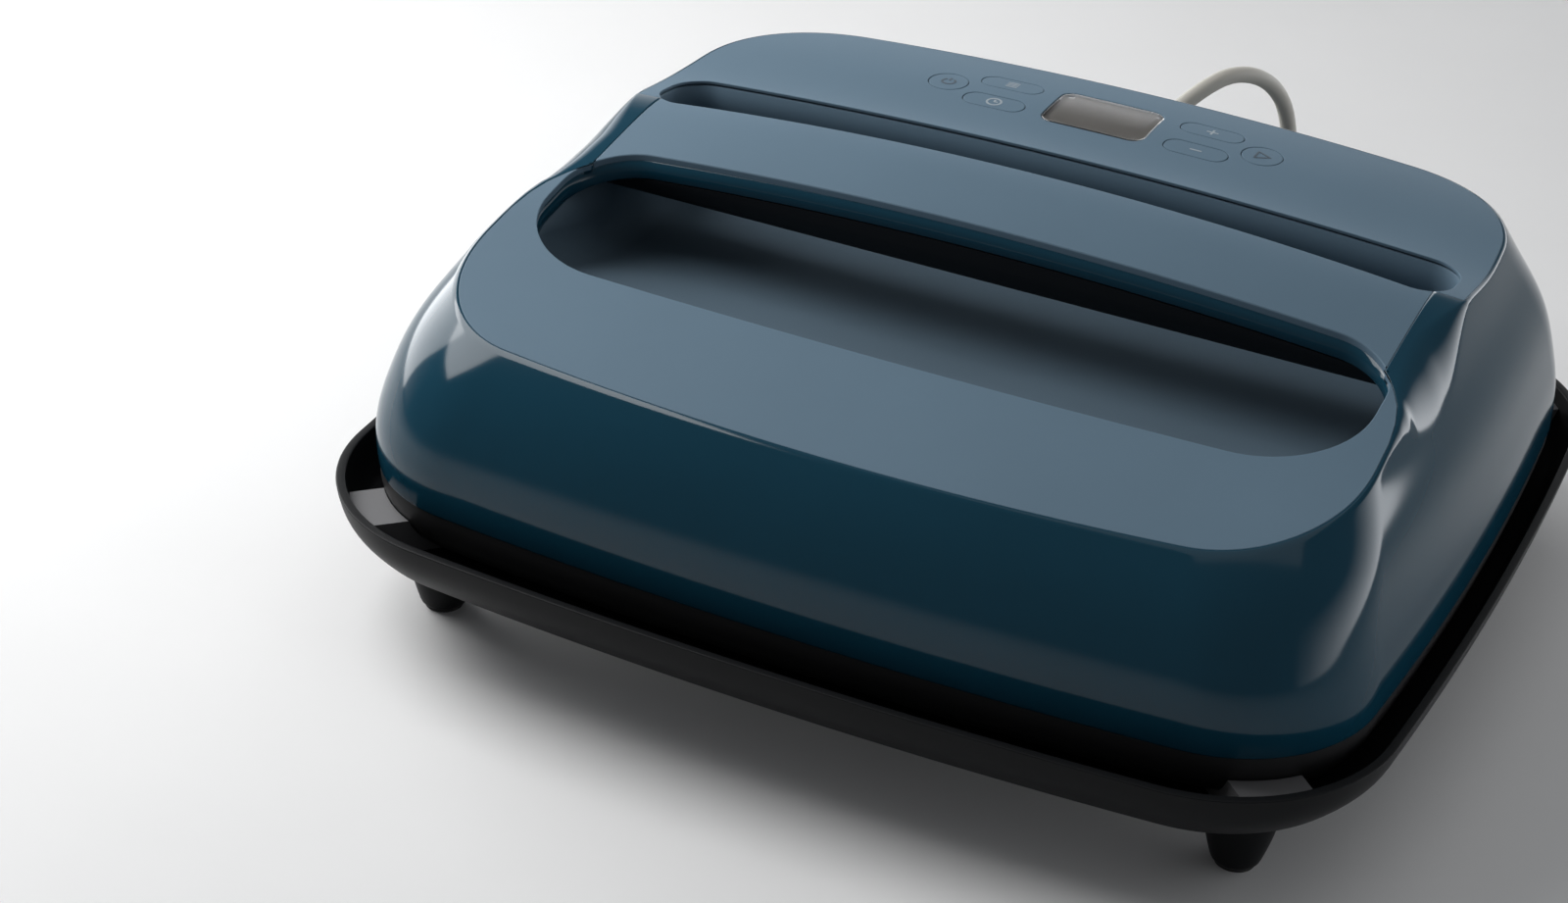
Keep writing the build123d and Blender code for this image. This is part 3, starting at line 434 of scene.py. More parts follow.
def add_bump(tree, height, strength, distance):
    """Lets a height shape the shader's normals. The distance is in mm."""
    bump = tree.nodes.new("ShaderNodeBump")
    bump.inputs["Strength"].default_value = strength
    bump.inputs["Distance"].default_value = distance * MM
    tree.links.new(height, bump.inputs["Height"])
    tree.links.new(bump.outputs["Normal"], tree.nodes["Principled BSDF"].inputs["Normal"])


def new_material(name):
    """Material with its node tree and shader."""
    mat = bpy.data.materials.new(name)
    mat.use_nodes = True
    return mat, mat.node_tree, mat.node_tree.nodes["Principled BSDF"]


def material(
    name,
    colour,
    roughness,
    grain=0.0,
    grain_size=0.4,
    patches=0.0,
    metallic=0.0,
    sheen=0.0,
    specular=0.5,
):
    """Moulded or coated surface: faint patches of tone and a fine grain, whose size is in mm."""
    mat, tree, shader = new_material(name)
    link = tree.links.new
    shader.inputs["Metallic"].default_value = metallic
    shader.inputs["Sheen Weight"].default_value = sheen
    shader.inputs["Specular IOR Level"].default_value = specular
    place = object_place(tree)
    broad = noise(tree, place, PATCH_SCALE, 5.0)
    tint = tree.nodes.new("ShaderNodeHueSaturation")
    tint.inputs["Color"].default_value = (*colour, 1.0)
    link(mapped(tree, broad, (0.3, 0.7), (1.0 - patches, 1.0 + patches)), tint.inputs["Value"])
    link(tint.outputs["Color"], shader.inputs["Base Color"])
    fine = noise(tree, place, 1.0 / (grain_size * MM), 3.0)
    smoothest = roughness * (1 - ROUGHNESS_SPREAD)
    roughest = min(1.0, roughness * (1 + ROUGHNESS_SPREAD))
    link(mapped(tree, fine, to_range=(smoothest, roughest)), shader.inputs["Roughness"])
    if grain:
        add_bump(tree, fine, grain, GRAIN_HEIGHT)
    return mat


def brushed(name, colour, roughness, across=900.0, along=25.0):
    """Metal with fine lines along X, from a noise that is scaled along and across them."""
    mat = material(name, colour, roughness, metallic=1.0, patches=0.04)
    tree = mat.node_tree
    stretch = tree.nodes.new("ShaderNodeMapping")
    stretch.inputs["Scale"].default_value = (along, across, across)
    tree.links.new(object_place(tree), stretch.inputs["Vector"])
    lines = noise(tree, stretch.outputs["Vector"], detail=4.0)
    add_bump(tree, lines, LINE_STRENGTH, LINE_HEIGHT)
    return mat


def glass(name, colour):
    """Clear window with faint smears."""
    mat, tree, shader = new_material(name)
    shader.inputs["Base Color"].default_value = (*colour, 1.0)
    shader.inputs["Transmission Weight"].default_value = 1.0
    shader.inputs["IOR"].default_value = 1.46
    smears = noise(tree, object_place(tree), 60.0)
    tree.links.new(mapped(tree, smears, to_range=(0.01, 0.05)), shader.inputs["Roughness"])
    return mat


M = {
    "gloss": material("gloss_teal", (0.005, 0.038, 0.064), 0.1, patches=0.05, specular=0.3),
    "matte": material(
        "matte_slate", (0.095, 0.15, 0.2), 0.6, grain=0.22, grain_size=0.35, patches=0.03,
        specular=0.15,
    ),
    # The hand well is the same matte slate as the covers; its darker colour here is painted shade.
    "well": material(
        "well_painted_shade", (0.08, 0.118, 0.152), 0.6, grain=0.25, grain_size=0.4, patches=0.06,
        specular=0.2,
    ),
    "black": material(
        "satin_black", (0.005, 0.0055, 0.007), 0.45, grain=0.12, grain_size=0.3, patches=0.05,
        specular=0.2,
    ),
    "band": material(
        "band_black", (0.02, 0.02, 0.021), 0.42, grain=0.12, grain_size=0.3, patches=0.05,
        specular=0.4,
    ),
    "tray": material(
        "charcoal", (0.0065, 0.007, 0.0078), 0.42, grain=0.35, grain_size=0.45, patches=0.07,
        specular=0.1,
    ),
    # The rest pads' pale grey is painted sheen, standing in for the light their tops catch.
    "pad": material("rest_pad_painted_sheen", (0.13, 0.13, 0.135), 0.6, grain=0.3, grain_size=0.5, patches=0.05),
    "rubber": material(
        "foot_rubber", (0.015, 0.015, 0.015), 0.75, grain=0.4, grain_size=0.6, patches=0.1
    ),
    "plate": brushed("plate_metal", (0.62, 0.62, 0.63), 0.32, across=500.0, along=20.0),
    "steel": brushed("steel", (0.55, 0.55, 0.56), 0.28),
    "board": material(
        "board_green", (0.02, 0.10, 0.045), 0.35, grain=0.3, grain_size=0.8, patches=0.15
    ),
    "fibre": material(
        "fibre_board", (0.62, 0.60, 0.54), 0.9, grain=0.9, grain_size=0.8, patches=0.08, sheen=0.3
    ),
    "moulded": material(
        "moulded_black", (0.02, 0.02, 0.02), 0.45, grain=0.2, grain_size=0.4, patches=0.08
    ),
    "cord": material(
        "cord_grey", (0.42, 0.405, 0.365), 0.5, grain=0.15, grain_size=0.5, patches=0.03
    ),
    "brass": material("brass", (0.72, 0.52, 0.24), 0.22, metallic=1.0, patches=0.05, grain=0.1),
    "lcd": material(
        "lcd_grey", (0.185, 0.170, 0.157), 0.55, grain=0.1, grain_size=0.3, patches=0.02
    ),
    "module": material(
        "module_grey", (0.08, 0.075, 0.07), 0.4, grain=0.15, grain_size=0.4, patches=0.05
    ),
    "mark_light": material(
        "mark_light", (0.26, 0.30, 0.33), 0.5, grain=0.1, grain_size=0.2, patches=0.03
    ),
    # Power and start symbols are engraved in their caps; this colour, the matte slate at about a
    # third of its brightness, is painted shade of the engraving.
    "engraving_shade": material(
        "engraving_shade", (0.035, 0.055, 0.075), 0.5, grain=0.1, grain_size=0.2, patches=0.03
    ),
    "glass": glass("window_glass", (0.93, 0.93, 0.92)),
}


def dress(obj, mat, body=None, replaces=()):
    """Gives a piece its material and body, and hides the nodes it stands for."""
    obj.data.materials.clear()
    obj.data.materials.append(M[mat])
    if body:
        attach(obj, body)
    if replaces:
        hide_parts(*replaces)
    return obj


# Gloss shell: one grid of points, whose columns run up the wall, over the crease and onto the top
TABLE_STEP = 0.5
table_heights = np.arange(0.0, WALL_HEIGHTS[-1] + TABLE_STEP, TABLE_STEP)
wall_table = np.array(
    [
        bulged(
            PRESS_HALF_WIDTH - side_inset(h),
            PRESS_HALF_DEPTH - front_inset(h),
            PRESS_HALF_DEPTH - rear_inset(h),
            SIDE_SAG,
            FRONT_SAG,
            CORNER_RADIUS,
        )
        for h in table_heights
    ]
)
COLUMNS = wall_table.shape[1]


def wall_at(heights):
    """Wall points, one for each column, at a height of its own."""
    place = np.clip(heights / TABLE_STEP, 0, len(table_heights) - 1.001)
    low = place.astype(int)
    share = (place - low)[:, None]
    column = np.arange(COLUMNS)
    return wall_table[low, column] * (1 - share) + wall_table[low + 1, column] * share


over = PARTING + table_heights[:, None] - top(wall_table[:, :, 0], wall_table[:, :, 1])
first_over = np.argmax(over > 0, axis=0)
column_index = np.arange(COLUMNS)
below, above = over[first_over - 1, column_index], over[first_over, column_index]
crease_heights = table_heights[first_over - 1] + TABLE_STEP * below / (below - above)
crease = wall_at(crease_heights)
crease_normal = inward(crease)

# How far each column reaches over the top, and how round its crease is
on_side = np.abs(crease_normal[:, 0]) > ON_SIDE
depth_back = crease[:, 1]
reach = np.full(COLUMNS, EDGE_RIM)
arm = on_side & (depth_back > ARM_DEPTHS[0]) & (depth_back < REAR_TIP)
cover_half = np.interp(depth_back, ARM_DEPTHS, ARM_HALF_WIDTHS)
arm_reach = (np.abs(crease[:, 0]) - cover_half) / np.abs(crease_normal[:, 0])
reach[arm] = np.maximum(EDGE_RIM, arm_reach[arm])


def ease(value, start, end):
    """Rises smoothly from 0 at the start to 1 at the end."""
    share = np.clip((value - start) / (end - start), 0, 1)
    return share * share * (3 - 2 * share)


fade = 1 - ease(depth_back, ROUND_FADE, ROUND_END)
rounding = ease(depth_back, ROUND_BEGIN, ROUND_FULL) * fade * on_side
round_length = CREASE_ROUND + (HANDLE_ROUND - CREASE_ROUND) * rounding
round_length = np.minimum(round_length, ROUND_MAX_SHARE * reach)
round_down = ROUND_DROP * round_length

BOTTOM_ROUND = 0.7
BOTTOM_ROWS, WALL_ROWS, BLEND_ROWS, OVER_ROWS = 5, 44, 12, 10
BLEND_PULL = 0.62
BLEND_REACH = 0.3
SKIRT_BELOW_PANEL = 1.0
INNER_SHARES = (0.93, 0.6, 0.3, 0.05)
shell_rows = []


def add_row(spots, levels):
    """Adds a row of points, one for each column, to the shell."""
    shell_rows.append(np.column_stack([spots, levels]))


base_line = wall_at(np.zeros(COLUMNS))
base_normal = inward(base_line)
add_row(base_line + base_normal * SHELL_WALL, np.full(COLUMNS, PARTING))
for k in range(BOTTOM_ROWS):
    angle = math.pi / 2 * k / BOTTOM_ROWS
    lift = BOTTOM_ROUND * (1 - math.cos(angle))
    spots = wall_at(np.full(COLUMNS, lift)) + base_normal * BOTTOM_ROUND * (1 - math.sin(angle))
    add_row(spots, np.full(COLUMNS, PARTING + lift))
round_start = crease_heights - round_down
for k in range(WALL_ROWS):
    heights = BOTTOM_ROUND + (round_start - BOTTOM_ROUND) * k / WALL_ROWS
    add_row(wall_at(heights), PARTING + heights)


def on_wall(heights):
    """Points of the wall, one for each column, at a height of its own."""
    return np.column_stack([wall_at(heights), PARTING + heights])


def on_top(shift):
    """Points of the top, one for each column, a shift in from the crease."""
    spots = crease + crease_normal * shift[:, None]
    return np.column_stack([spots, top(spots[:, 0], spots[:, 1])])


def unit(vectors):
    return vectors / np.linalg.norm(vectors, axis=1)[:, None]


blend_start, blend_end = on_wall(round_start), on_top(round_length)
wall_way = unit(blend_start - on_wall(round_start - BLEND_REACH))
top_way = unit(blend_end - on_top(round_length + BLEND_REACH))
blend_points = [
    blend_start,
    blend_start + wall_way * (BLEND_PULL * round_down)[:, None],
    blend_end + top_way * (BLEND_PULL * round_length)[:, None],
    blend_end,
]
for k in range(BLEND_ROWS + 1):
    t = k / BLEND_ROWS
    weights = (1 - t) ** 3, 3 * t * (1 - t) ** 2, 3 * t**2 * (1 - t), t**3
    shell_rows.append(sum(weight * points for weight, points in zip(weights, blend_points)))
for k in range(1, OVER_ROWS + 1):
    shift = round_length + (reach - round_length) * k / OVER_ROWS
    shell_rows.append(on_top(shift))
shell_end = shell_rows[-1][:, :2]
end_level = top(shell_end[:, 0], shell_end[:, 1])
add_row(shell_end, end_level - PANEL_THICKNESS - SKIRT_BELOW_PANEL)
for share in INNER_SHARES:
    heights = crease_heights * share
    add_row(wall_at(heights) + crease_normal * SHELL_WALL, PARTING + heights)
shell_faces = grid_faces(len(shell_rows), COLUMNS, wrap_rows=True)
gloss_shell = new_piece("gloss_shell", np.concatenate(shell_rows), shell_faces)
dress(gloss_shell, "gloss", "press", ["upper_shell"])

# Outlines of the matte covers, from where the shell's columns end
GAP = 0.03
TIP_GAP_ANGLE = 0.02


def shell_edge(keep):
    """Ends of the shell's kept columns, in order round the press, drawn in by the seam."""
    index = np.nonzero(keep)[0]
    jump = np.nonzero(np.diff(index) > 1)[0]
    if len(jump):
        index = np.roll(index, -(jump[0] + 1))
    normal = crease_normal[index]
    return shell_end[index] + normal * GAP


def quarter(side, y, radius, turn, count, start=0.0, upto=math.pi / 2):
    """Points on a corner of an opening, from its side towards its long edge.

    The turn is 1 at a rear edge and -1 at a front one."""
    angles = start + (upto - start) * np.arange(count + 1) / count
    x = OPENING_HALF_WIDTH - radius + radius * np.cos(angles)
    return np.column_stack([side * x, y - turn * radius + turn * radius * np.sin(angles)])


def hole_corner(side, **part):
    """Points on the hand opening's rear corner, or on a part of it."""
    return quarter(side, HOLE_REAR, HOLE_RADIUS, 1, 14, **part)


def groove_corner(side, **part):
    """Points on the groove's front corner, or on a part of it."""
    return quarter(side, GROOVE_FRONT, GROOVE_RADIUS, -1, 10, **part)


def groove_rear_corner(side):
    return quarter(side, GROOVE_REAR, GROOVE_RADIUS, 1, 12)


def hole_front_edge():
    """Front edge of the hand opening with its two corners, from right to left, slightly bowed."""
    right = quarter(1, HOLE_FRONT, HOLE_FRONT_RADIUS, -1, 20)
    straight = np.linspace(right[-1], right[-1] * [-1, 1], 140)[1:-1]
    line = np.concatenate([right, straight, right[::-1] * [-1, 1]])
    share = np.clip((HOLE_FRONT + HOLE_FRONT_RADIUS - line[:, 1]) / HOLE_FRONT_RADIUS, 0, 1)
    line[:, 1] += HOLE_BOW * (line[:, 0] / OPENING_HALF_WIDTH) ** 2 * share
    return line


tip_angle = math.asin((ARM_TIP - HOLE_REAR + HOLE_RADIUS) / HOLE_RADIUS)
groove_tip_angle = math.asin((GROOVE_FRONT + GROOVE_RADIUS - REAR_TIP) / GROOVE_RADIUS)

front_loop = np.concatenate(
    [
        shell_edge(depth_back < ARM_TIP),
        hole_corner(1, upto=tip_angle)[::-1],
        hole_front_edge(),
        hole_corner(-1, upto=tip_angle),
    ]
)
at_handle = (depth_back > ARM_TIP) & (depth_back < REAR_TIP)
right_end = shell_end[at_handle & (crease[:, 0] > 0)] - [GAP, 0]
left_end = shell_end[at_handle & (crease[:, 0] < 0)] + [GAP, 0]
handle_loop = np.concatenate(
    [
        hole_corner(-1, start=tip_angle + TIP_GAP_ANGLE),
        hole_corner(1, start=tip_angle + TIP_GAP_ANGLE)[::-1],
        right_end,
        groove_corner(1, start=groove_tip_angle + TIP_GAP_ANGLE),
        groove_corner(-1, start=groove_tip_angle + TIP_GAP_ANGLE)[::-1],
        left_end,
    ]
)
rear_loop = np.concatenate(
    [
        shell_edge(depth_back > REAR_TIP),
        groove_corner(-1, upto=groove_tip_angle)[::-1],
        groove_rear_corner(-1),
        groove_rear_corner(1)[::-1],
        groove_corner(1, upto=groove_tip_angle),
    ]
)

REAR_SKIRT = 1.0

# Buttons and display, as the solids place them
BUTTON_ROW = 90.1
ROUND_BUTTON_X, PILL_X, PILL_OFFSET = 57.8, 37.0, 8.3
ROUND_RADIUS, PILL_LENGTH, PILL_WIDTH = 7.2, 23.0, 9.8
BUTTON_GAP = 0.25
DISPLAY_DEPTH, DISPLAY_WIDTH, DISPLAY_LENGTH, DISPLAY_CORNER = 90.3, 38.0, 27.0, 5.0
BUTTONS = {
    "power_button": (-ROUND_BUTTON_X, BUTTON_ROW),
    "menu_button": (-PILL_X, BUTTON_ROW + PILL_OFFSET),
    "timer_button": (-PILL_X, BUTTON_ROW - PILL_OFFSET),
    "plus_button": (PILL_X, BUTTON_ROW + PILL_OFFSET),
    "minus_button": (PILL_X, BUTTON_ROW - PILL_OFFSET),
    "start_button": (ROUND_BUTTON_X, BUTTON_ROW),
}
ROUND_BUTTONS = ("power_button", "start_button")
LEAST_STRAIGHT = 0.001


def box_loop(x, y, width, length, corner, step=0.8):
    """Outline of a rounded rectangle about a centre."""
    w, h = width / 2, length / 2
    corners = [(x + w, y - h), (x + w, y + h), (x - w, y + h), (x - w, y - h)]
    return rounded_path([(*c, corner) for c in corners], step)


def button_loop(name, margin=0.0):
    """Outline of a button's hole, or with a margin below 0, of its cap."""
    x, y = BUTTONS[name]
    long = short = 2 * (ROUND_RADIUS + margin)
    if name not in ROUND_BUTTONS:
        long, short = PILL_LENGTH + 2 * margin, PILL_WIDTH + 2 * margin
    return box_loop(x, y, long, short, short / 2 - LEAST_STRAIGHT, step=0.5)


def matte_cover(name, outline, replaced, openings=(), **options):
    """Cover on the top surface that stands for a solid."""
    sheet = sheet_over([densify(outline, COVER_STEP), *openings], top, **options)
    cover = new_piece(name, *sheet)
    level_normals(cover, top)
    dress(cover, "matte", "press", [replaced])


matte_cover("front_cover", front_loop, "front_panel", edge=0.4)
matte_cover("handle_top", handle_loop, "handle_cover", edge=0.5)
holes = [button_loop(name)[::-1] for name in BUTTONS]
display_hole = box_loop(0, DISPLAY_DEPTH, DISPLAY_WIDTH, DISPLAY_LENGTH, DISPLAY_CORNER)[::-1]
matte_cover(
    "rear_cover",
    rear_loop,
    "control_panel",
    [*holes, display_hole],
    edge=0.3,
    depth=REAR_SKIRT,
    step=3.0,
)

# Lips under the edges of the openings
hole_loop = np.concatenate([hole_front_edge()[::-1], hole_corner(1), hole_corner(-1)[::-1]])
groove_rear = [groove_rear_corner(1), groove_rear_corner(-1)[::-1]]
groove_loop = np.concatenate([groove_corner(-1), groove_corner(1)[::-1], *groove_rear])
LIP_TOP = PANEL_THICKNESS + 0.05
lip_section = [
    (0.0, LIP_TOP),
    (0.0, LIP_DEPTH - 0.6),
    (-0.2, LIP_DEPTH - 0.2),
    (-0.6, LIP_DEPTH),
    (-LIP_THICKNESS, LIP_DEPTH),
    (-LIP_THICKNESS, LIP_TOP),
]
hole_lip = new_piece("hole_lip", *swept_ring(densify(hole_loop, COVER_STEP), lip_section, top))
dress(hole_lip, "gloss", "press")
GROOVE_SHADOW = 0.7
GROOVE_DEPTH = 19.0
STRIP_TOP = REAR_SKIRT + GROOVE_SHADOW
groove_section = [
    (-0.3, STRIP_TOP),
    (0.1, STRIP_TOP + 0.4),
    (0.1, GROOVE_DEPTH),
    (-LIP_THICKNESS, GROOVE_DEPTH),
    (-LIP_THICKNESS, STRIP_TOP),
]
groove_ring = swept_ring(densify(groove_loop, COVER_STEP), groove_section, top)
groove_lip = new_piece("groove_lip", *groove_ring)
dress(groove_lip, "matte", "press")

# Hand well: upright walls that turn into the scooped floor
WELL_WALL = 2.0
LEAST_LIP = 2.6
LEAST_FILLET, FILLET_SHARE = 1.0, 0.8
FILLET_ROWS = 8
WELL_STEP = 2.0
well_loop = densify(np.concatenate([hole_front_edge()[::-1], *groove_rear]), WELL_STEP)
well_normal = inward(well_loop)
loop_floor = well_floor(well_loop[:, 1])
loop_top = top(well_loop[:, 0], well_loop[:, 1])
wall_top = np.maximum(loop_top - LIP_DEPTH, loop_floor + WELL_WALL)
wall_top = np.minimum(wall_top, loop_top - PANEL_THICKNESS - LEAST_LIP)
fillet = np.clip(FILLET_SHARE * (wall_top - loop_floor), LEAST_FILLET, WELL_FILLET)
outer_loop = well_loop - well_normal * WELL_WALL
well_rows = [
    np.column_stack([outer_loop, wall_top - WELL_WALL]),
    np.column_stack([outer_loop, wall_top]),
    np.column_stack([well_loop, wall_top]),
]
for k in range(FILLET_ROWS + 1):
    angle = math.pi / 2 * k / FILLET_ROWS
    spots = well_loop + well_normal * (fillet * (1 - math.cos(angle)))[:, None]
    level = well_floor(spots[:, 1]) + fillet * (1 - math.sin(angle))
    well_rows.append(np.column_stack([spots, np.minimum(level, wall_top)]))
floor_rim = spots
well_verts = list(np.concatenate(well_rows))
well_faces = grid_faces(len(well_rows), len(well_loop))
floor_xs, floor_ys = np.arange(-139.5, 140, 4.5), np.arange(-74, 52, 3.0)
field = np.array([(x, y) for y in floor_ys for x in floor_xs])
field = field[inside(field, [floor_rim + inward(floor_rim)])]
flat, triangles = filled([floor_rim], field)
start = len(well_verts)
level = well_floor(flat[:, 1])
well_verts += [(x, y, z) for (x, y), z in zip(flat, level)]
well_faces += [tuple(start + int(i) for i in t) for t in triangles]
hand_basin = new_piece("hand_basin", well_verts, well_faces)
# The well's colour is the matte slate darkened: painted shade.
dress(hand_basin, "well", "press", ["hand_well"])

# Button caps and their symbols


def ribbon(points, width, closed=False):
    """Strip of even width along points, as pairs of points left and right of it."""
    points = np.array(points, float)
    if closed:
        along = np.roll(points, -1, 0) - np.roll(points, 1, 0)
    else:
        along = np.gradient(points, axis=0)
    along /= np.linalg.norm(along, axis=1)[:, None]
    normal = np.stack([-along[:, 1], along[:, 0]], 1) * width / 2
    return points + normal, points - normal


def symbol(strokes, centre, width, lift=0.05, sink=0.25):
    """Thin strip on the top surface, from strokes given about a centre. Light strips are print; dark
    ones are painted shade in place of an engraving.
    """
    parts = []
    for points, closed in strokes:
        left, right = ribbon(points, width, closed)
        count = len(left)
        verts = []
        for side, depth in ((left, lift), (right, lift), (right, -sink), (left, -sink)):
            spot = side + np.array(centre)
            verts += [(x, y, z + depth) for (x, y), z in zip(spot, top(spot[:, 0], spot[:, 1]))]
        faces = grid_faces(4, count, closed=closed, wrap_rows=True)
        if not closed:
            faces += [(0, count, 2 * count, 3 * count)]
            faces += [(count - 1, 4 * count - 1, 3 * count - 1, 2 * count - 1)]
        parts.append((verts, faces))
    return merged(*parts)


def ring_stroke(radius, start=0.0, end=360.0, count=40):
    """Points on a ring or arc, and whether it is closed. Angles are in degrees."""
    closed = end - start >= 360
    angles = np.radians(np.linspace(start, end, count, endpoint=not closed))
    return [(radius * math.cos(a), radius * math.sin(a)) for a in angles], closed


def line_stroke(*points):
    return list(points), False


def polygon_stroke(corners, per_side=6):
    """Points along the sides of a closed polygon."""
    points = []
    for a, b in zip(np.array(corners), np.roll(corners, -1, 0)):
        points += [tuple(a + (b - a) * k / per_side) for k in range(per_side)]
    return points, True


SYMBOLS = {
    "power_button": [ring_stroke(2.3, 125, 415), line_stroke((0, 0.6), (0, 2.9))],
    "menu_button": [line_stroke((-2.15, y), (2.15, y)) for y in (-1.8, -0.6, 0.6, 1.8)],
    "timer_button": [
        ring_stroke(2.5),
        line_stroke((0, 1.5), (0, 0)),
        line_stroke((0, 0), (1.3, 0)),
    ],
    "plus_button": [line_stroke((-2.1, 0), (2.1, 0)), line_stroke((0, -2.1), (0, 2.1))],
    "minus_button": [line_stroke((-2.1, 0), (2.1, 0))],
    "start_button": [polygon_stroke([(-2.0, -2.6), (2.9, 0.0), (-2.0, 2.6)])],
}
STROKE, MENU_STROKE = 0.75, 0.55
CAP_SINK = 0.02
for name, place in BUTTONS.items():
    outline = button_loop(name, -BUTTON_GAP)
    cap_sheet = sheet_over([outline], top, edge=0.3, depth=6.0, step=1.6, lift=-CAP_SINK)
    cap = new_piece(name + "_cap", *cap_sheet)
    level_normals(cap, top, -CAP_SINK)
    dress(cap, "matte", name, [name])
    width = MENU_STROKE if name == "menu_button" else STROKE
    mark = new_piece(name + "_symbol", *symbol(SYMBOLS[name], place, width), smooth=False)
    # The round buttons' engraved symbols get painted shade; the others are light print.
    dress(mark, "engraving_shade" if name in ROUND_BUTTONS else "mark_light", name)

# Display: clear window with rounded edges over a warm grey screen
WINDOW_GAP = 0.15
WINDOW_THICKNESS = 1.8
window_loop = box_loop(
    0,
    DISPLAY_DEPTH,
    DISPLAY_WIDTH - 2 * WINDOW_GAP,
    DISPLAY_LENGTH - 2 * WINDOW_GAP,
    DISPLAY_CORNER - WINDOW_GAP,
    step=0.5,
)
glass_top = sheet_over([window_loop], top, edge=0.7, depth=WINDOW_THICKNESS, step=3.0, edge_rows=7)
glass_under = sheet_over(
    [window_loop],
    lambda x, y: top(x, y) - WINDOW_THICKNESS,
    edge=0.01,
    depth=0.0,
    step=3.0,
    edge_rows=1,
)
display_glass = new_piece("display_glass", *merged(glass_top, glass_under))
dress(display_glass, "glass", "press", ["display_window"])
SCREEN_MARGIN, SCREEN_SINK = 0.6, PANEL_THICKNESS + 0.25
screen_width, screen_length = DISPLAY_WIDTH + 2 * SCREEN_MARGIN, DISPLAY_LENGTH + 2 * SCREEN_MARGIN
screen_loop = box_loop(0, DISPLAY_DEPTH, screen_width, screen_length, DISPLAY_CORNER)
screen_sheet = sheet_over([screen_loop], top, edge=0.1, depth=0.35, lift=-SCREEN_SINK)
screen = new_piece("lcd_screen", *screen_sheet)
dress(screen, "lcd", "press")

# Safety base: the tray as one closed section swept round its outline
RIM_HALF_WIDTH, RIM_HALF_DEPTH, RIM_RADIUS = 180.3, 163.0, 58.7
TRAY_WALL, TRAY_FLOOR = 3.0, 2.5
tray_inset = smooth_curve([FOOT_TOP, FOOT_TOP + 9.0, RIM_TOP], [10.0, 3.0, 0.0])
TRAY_SIDE, TRAY_CORNER = 60, 24


def tray_loop(inset):
    """Outline of the tray, drawn in by an inset."""
    return bulged(
        RIM_HALF_WIDTH - inset,
        RIM_HALF_DEPTH - inset,
        RIM_HALF_DEPTH - inset,
        SIDE_SAG,
        FRONT_SAG,
        RIM_RADIUS - inset,
        TRAY_SIDE,
        TRAY_CORNER,
    )


RIM_ROUND = 0.5
FLOOR_TOP = FOOT_TOP + TRAY_FLOOR
quarters = [math.pi / 2 * k / 4 for k in range(5)]
section = [(11.2, FOOT_TOP), (10.6, FOOT_TOP + 0.15), (9.9, FOOT_TOP + 0.55)]
for z in np.linspace(FOOT_TOP + 1.0, RIM_TOP - RIM_ROUND, 20):
    section.append((float(tray_inset(z)), float(z)))
for angle in quarters[1:]:
    across, down = 1 - math.cos(angle), 1 - math.sin(angle)
    section.append((RIM_ROUND * across, RIM_TOP - RIM_ROUND * down))
for angle in quarters:
    across, down = math.sin(angle), 1 - math.cos(angle)
    section.append((TRAY_WALL - RIM_ROUND + RIM_ROUND * across, RIM_TOP - RIM_ROUND * down))
for z in np.linspace(RIM_TOP - 1.5, FLOOR_TOP + 2.5, 10):
    section.append((float(tray_inset(z)) + TRAY_WALL, float(z)))
section += [(13.4, FLOOR_TOP + 0.9), (14.6, FLOOR_TOP + 0.2), (16.5, FLOOR_TOP)]
FLOOR_SHARES = (0.0, 0.15, 0.4, 0.7)
under, inner = section[0], section[-1]
tray_rings = [(tray_loop(under[0]) * share, FOOT_TOP) for share in FLOOR_SHARES]
tray_rings += [(tray_loop(inset), z) for inset, z in section]
tray_rings += [(tray_loop(inner[0]) * share, FLOOR_TOP) for share in reversed(FLOOR_SHARES)]
tray_rows = [np.column_stack([loop, np.full(len(loop), z)]) for loop, z in tray_rings]
tray_faces = grid_faces(len(tray_rows), len(tray_rows[0]))
tray_body = new_piece("tray_body", np.concatenate(tray_rows), tray_faces)
dress(tray_body, "tray", "base", ["base_tray"])

# Feet
FOOT_X, FOOT_Y = 137.4, 115.6
AXIS = 0.01
PAD_TOP = 1.5
foot_profile = [(AXIS, FOOT_TOP + 0.6), (12.9, FOOT_TOP + 0.6), (12.6, FOOT_TOP - 0.5)]
foot_radius = smooth_curve([PAD_TOP, 12.0, FOOT_TOP], [7.4, 10.4, 12.5])
for z in np.linspace(FOOT_TOP - 1.5, 3.0, 12):
    foot_profile.append((float(foot_radius(z)), float(z)))
foot_profile += [(7.5, 2.1), (7.1, 1.6), (6.6, PAD_TOP), (AXIS, PAD_TOP)]
foot_places = [(x, y) for x in (FOOT_X, -FOOT_X) for y in (FOOT_Y, -FOOT_Y)]
feet_parts = [lathe(foot_profile, centre=place) for place in foot_places]
foot_posts = new_piece("foot_posts", *merged(*feet_parts))
dress(foot_posts, "tray", "base", ["feet"])

